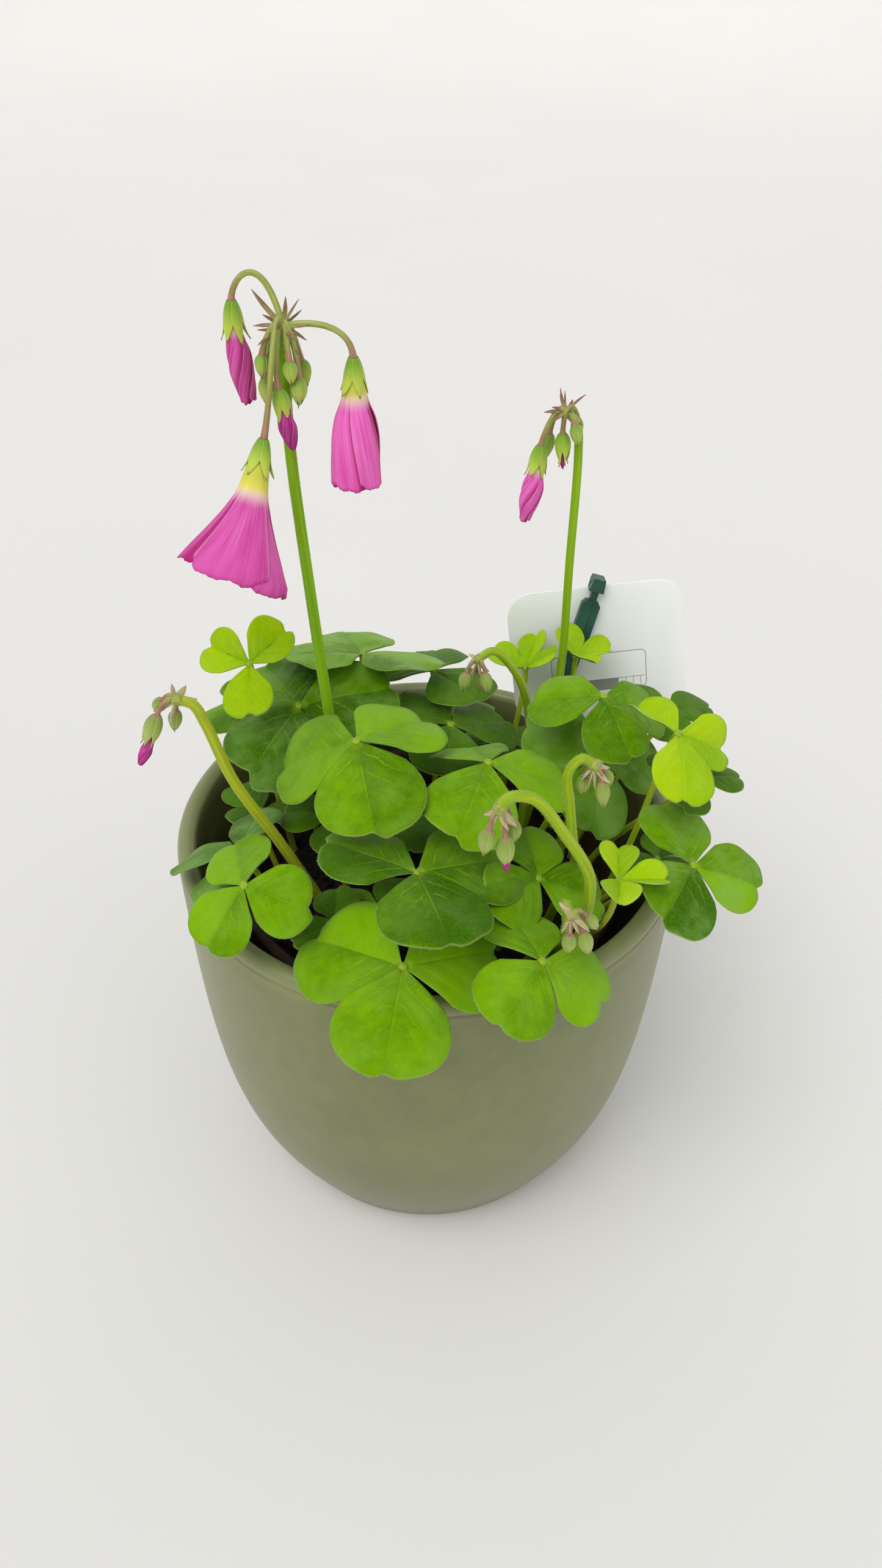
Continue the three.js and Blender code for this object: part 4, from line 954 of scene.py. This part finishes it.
def soilFinish():
    f = Finish("black_peat")
    fibres = f.cloud(500, 6, 0.75)
    clods = f.cloud(120, 5, 0.65)
    tint = f.blend(clods.step(0.3, 0.7), (17, 13, 10), (48, 36, 27),
                   (fibres.step(0.58, 0.72) * 0.45, (92, 68, 48)))
    return f.surface(tint, 0.86 + fibres * 0.12, clods + fibres, 0.0012, 1)


# half a turn over a rim, from its outside to its inside
def lipOver(outside, inside, top, rise, count):
    turn = np.linspace(0, pi, count)
    middle, half = (outside + inside) / 2, (outside - inside) / 2
    return np.stack([middle + half * np.cos(turn), top - rise + rise * np.sin(turn)], 1)


def makePot():
    wall, high, wide, floor = (potLook[key] for key in ("wall", "height", "radius", "floor"))
    outside = bezier(*potLook["curve"], [wide, high - 2.6], 80)[3:-3]
    inside = (outside[4:] + [-wall, 1])[::-1]
    inside = inside[(inside[:, 1] < high - 3.2) & (inside[:, 1] > floor + 2.4)]
    outside = outside[outside[:, 1] < high - 5.2]
    groove = [[wide - deep, high - below] for deep, below in (
        (0, 4.9), (0.12, 4.5), (0.5, 4.15), (0.5, 3.85), (0.12, 3.5), (0, 3.1))]
    last = inside[-1][0]
    bottom = [[last - 2.2, floor + 0.6], [last - 4.5, floor], [0.5, floor]]
    piece = Piece()
    lip = lipOver(wide, wide - wall, high, 2.7, 15)
    profile = np.vstack([potLook["foot"], outside, groove, lip, inside, bottom])
    piece.addLathe(profile, potLook["sides"], glazeFinish())
    piece.make("glazed_pot", "glaze", "cover_pot")


# the inside radius at a height of the thin pot, whose wall leans outward up to its collar
def growerInside(height):
    share = (height - potLook["floor"]) / (growerLook["top"] - potLook["floor"])
    return growerLook["foot"] + (growerLook["rim"] - 3.4 - growerLook["foot"]) * share


def makeGrowerPot():
    rim, top, wall, base = (growerLook[key] for key in ("rim", "top", "wall", "floor"))
    collar, floor = top - growerLook["collar"], base + wall
    outside = [[0.5, base], [41.6, base], [42.3, base + 0.5], [growerInside(collar) + wall, collar],
               [rim - 1, collar], [rim - 0.6, collar + 0.4], [rim - 0.1, top - 2.2]]
    inside = [[growerInside(h), h] for h in (top - 2, top - 12, 70, 40, floor + 1)]
    bottom = [[growerInside(base) - 1, floor], [0.5, floor]]
    piece = Piece()
    lip = lipOver(rim, growerInside(top), top, 1.3, 11)
    piece.addLathe(np.vstack([outside, lip, inside, bottom]), growerLook["sides"], growerFinish())
    piece.make("grower_pot", "terracotta_plastic", "nursery_pot")


soilLook = {"top": 98, "rise": 3, "rings": 76, "sides": 190, "waves": 26, "lumps": 1.5, "crumbs": 420,
            "crumbSize": (0.5, 1.9), "crumbRings": 5, "crumbSides": 7}


# the soil's height at a place, as a low mound with seeded lumps
def soilHeight(x, y, share, waves, fade=1):
    lumps = sum(high * np.sin(kx * x + ky * y + phase) for kx, ky, phase, high in waves)
    return soilLook["top"] + soilLook["rise"] * (1 - share) + lumps * soilLook["lumps"] * fade


def makeSoil():
    finish = soilFinish()
    brim = growerInside(soilLook["top"]) - 0.3
    turn = circle(soilLook["sides"])
    ring = np.linspace(1, 0.004, soilLook["rings"])[:, None]
    x, y = brim * ring * np.cos(turn), brim * ring * np.sin(turn)
    count = soilLook["waves"]
    scale, way = rng.uniform(0.15, 1.6, count), rng.uniform(0, 6.28, count)
    phase = rng.uniform(0, 6.28, count)
    waves = np.stack([scale * np.cos(way), scale * np.sin(way), phase, 0.16 / scale ** 0.35], 1)
    fade = np.clip((1 - ring) * 12, 0, 1)
    high = soilHeight(x, y, ring, waves, fade) + rng.normal(0, 0.14, x.shape) * fade
    base = growerLook["floor"] + growerLook["wall"] + 0.6
    below = lathed([[0.5, base], [growerInside(base) - 0.3, base], [brim, soilLook["top"] - 0.4]], turn)
    points = np.concatenate([below, stacked(x, y, high)])
    piece = Piece()
    piece.add(points, tubeFaces(*points.shape[:2]), finish)
    # loose crumbs that lie on it
    rings, sides = soilLook["crumbRings"], soilLook["crumbSides"]
    latitude = np.linspace(-1.35, 1.35, rings)
    ball = lathed(np.stack([np.cos(latitude), np.sin(latitude)], 1), circle(sides))
    for _ in range(soilLook["crumbs"]):
        far, angle = brim * sqrt(rng.uniform(0.01, 0.9)), rng.uniform(0, 6.28)
        size = rng.uniform(*soilLook["crumbSize"])
        x, y = far * cos(angle), far * sin(angle)
        middle = [x, y, soilHeight(x, y, far / brim, waves) + size * 0.2]
        stretch = rng.uniform(0.6, 1.3, 3) * [1, 1, 0.7]
        rough = size * rng.uniform(0.75, 1.2, (rings, sides, 1))
        piece.add(ball * rough * stretch + middle, tubeFaces(rings, sides), finish)
    piece.make("potting_soil", "peat", "soil")


makePot()
makeGrowerPot()
makeSoil()
print("pots and soil made")


# label

labelLook = {"size": (54, 43), "thick": 0.8, "corner": 8, "edge": 0.22, "place": [49.6, 53, 173.7],
             "lean": 11.5, "roll": 7}
# the printed frame's top, foot, half width and corner, its bar's height, and the width of a cell
printLook = {"top": -21.8, "foot": -34.0, "side": 14.7, "corner": 1.6, "bar": 3.5, "cell": 2.3}


# faint printed lines: the lower part of a rounded frame, and a bar of blank cells along its foot
def cardFinish():
    f = Finish("white_card")
    x, z, depth = f.mark()
    side = abs(x)
    top, foot, wide, corner, tall, cell = printLook.values()
    dx = side - (wide - corner)
    dz = abs(z - (top + foot) / 2) - ((top - foot) / 2 - corner)
    outX, outZ = dx.most(0), dz.most(0)
    far = (outX * outX + outZ * outZ) ** 0.5 + dx.most(dz).least(0) - corner
    line = abs(far).step(0.2, 0.08)
    front = depth.step(0.5, 0.3)
    bar = z.step(foot + tall + 0.05, foot + tall - 0.1) * z.step(foot, foot + 0.1)
    bar = bar * side.step(wide - 0.6, wide - 0.7) * front
    edges = abs(z - (foot + tall)).step(0.16, 0.06) * side.step(wide - 0.5, wide - 0.6)
    cells = (abs(((x + 40) / cell) % 1 - 0.5) * 2).step(0.88, 0.95)
    filled = x.step(6, 5.8)
    mark = line.most(edges.most(bar * cells * (1 - filled)))
    soft = f.cloud(60)
    tint = f.blend(soft * 0.6, (254, 255, 253), (246, 252, 245), (bar * filled * 0.75, (84, 86, 82)),
                   (mark * front * 0.7, (92, 96, 90)), (bar * cells * filled * 0.6, (150, 152, 146)))
    return f.surface(tint, 0.36 + soft * 0.1, f.cloud(2400, 2) + soft, 0.00006, 0.4, Coat_Weight=0.1)


def stakeFinish():
    f = Finish("green_plastic")
    soft = f.cloud(90)
    tint = f.blend(soft.step(0.3, 0.7), (24, 66, 54), (42, 92, 78))
    return f.surface(tint, 0.36 + soft * 0.16, f.cloud(1600) * 0.5 + soft, strength=0.5)


def makeCard():
    width, high = labelLook["size"]
    corner, thick, edge = (labelLook[key] for key in ("corner", "thick", "edge"))
    outline = []
    far, low = width / 2 - corner, corner - high
    for begin, x, z in ((0, far, -corner), (90, -far, -corner), (180, -far, low), (270, far, low)):
        turn = np.radians(np.linspace(begin, begin + 90, 13))
        outline.append([x, z] + corner * stacked(np.cos(turn), np.sin(turn)))
    outline = np.vstack(outline)
    centre = [0, -high / 2]
    rings = []
    bevel = [(edge, 0), (0.06, 0.08), (0, edge)]
    for inset, depth in [*bevel, *((inset, thick - depth) for inset, depth in bevel[::-1])]:
        shrink = 1 - inset / np.array([width / 2, high / 2])
        rings.append(stacked(*((outline - centre) * shrink + centre).T, depth))
    flat = np.array(rings)
    x, z = turned(flat[..., 0], flat[..., 1], radians(labelLook["roll"]))
    z, y = turned(z, flat[..., 2], radians(labelLook["lean"]))
    faces = [block[:, ::-1] for block in tubeFaces(*flat.shape[:2])]
    piece = Piece()
    piece.add(stacked(x, y, z) + labelLook["place"], faces, cardFinish(), flat)
    piece.make("blank_card", "white_plastic", "label_card")


makeCard()
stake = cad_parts["label_stake"]
stake.material_slots[0].material = stakeFinish()
print("label made")


# floor, lights and camera

stageLook = {"flat": 2.2, "bend": 0.9, "wall": 1.5, "sides": 96, "world": 0.58}
# each lamp's place, strength and softness in degrees
lampLook = {"key": [(-0.55, -0.75, 1.5), 1.35, 38], "fill": [(0.9, -1.1, 0.9), 0.35, 60]}


# a pale round floor that curves up into a low wall all round
def makeStage():
    f = Finish("pale_floor")
    finish = f.surface(f.blend(f.cloud(3, 2), (238, 236, 232), (232, 230, 226)), 0.85)
    flat, bend, sides = (stageLook[key] for key in ("flat", "bend", "sides"))
    curve = [[flat + bend * sin(t), bend - bend * cos(t)] for t in np.linspace(0, pi / 2, 13)]
    profile = [[0.4, 0], *curve, [flat + bend, stageLook["wall"]]]
    wall, middle, _ = tubeFaces(len(profile), sides)
    points = lathed(profile, circle(sides)).reshape(-1, 3)
    mesh = bpy.data.meshes.new("floor")
    mesh.from_pydata(points.tolist(), [], [*wall[:, ::-1].tolist(), *middle[:, ::-1].tolist()])
    mesh.materials.append(finish)
    mesh.shade_smooth()
    floor = addObject("floor", mesh)


def addLamp(name, place, power, soft):
    lamp = bpy.data.lights.new(name, "SUN")
    lamp.angle = radians(soft)
    lamp.energy = power
    made = addObject(name, lamp)
    made.location = place
    made.rotation_euler = (-Vector(place)).to_track_quat("-Z", "Y").to_euler()


def makeWorld():
    world = bpy.data.worlds.new("studio")
    world.use_nodes = True
    background = world.node_tree.nodes["Background"]
    background.inputs[0].default_value = (0.96, 0.98, 1.0, 1.0)
    background.inputs[1].default_value = stageLook["world"]
    bpy.context.scene.world = world
    bpy.context.scene.view_settings.view_transform = "Standard"


cameraLook = {"place": (0, -0.2634, 0.348), "pitch": 38.42, "yaw": 0.73, "roll": 0.78, "lens": 27.05}


def makeCamera():
    pitch, yaw, roll = (radians(cameraLook[key]) for key in ("pitch", "yaw", "roll"))
    data = bpy.data.cameras.new("camera")
    data.lens = cameraLook["lens"]
    data.sensor_width = 36
    camera = addObject("camera", data)
    camera.matrix_world = (Matrix.Translation(cameraLook["place"]) @ Matrix.Rotation(-yaw, 4, "Z")
                           @ Matrix.Rotation(pi / 2 - pitch, 4, "X") @ Matrix.Rotation(roll, 4, "Z"))
    bpy.context.scene.camera = camera


makeStage()
for name, row in lampLook.items():
    addLamp(name, *row)
makeWorld()
makeCamera()
print("stage, lights and camera made")
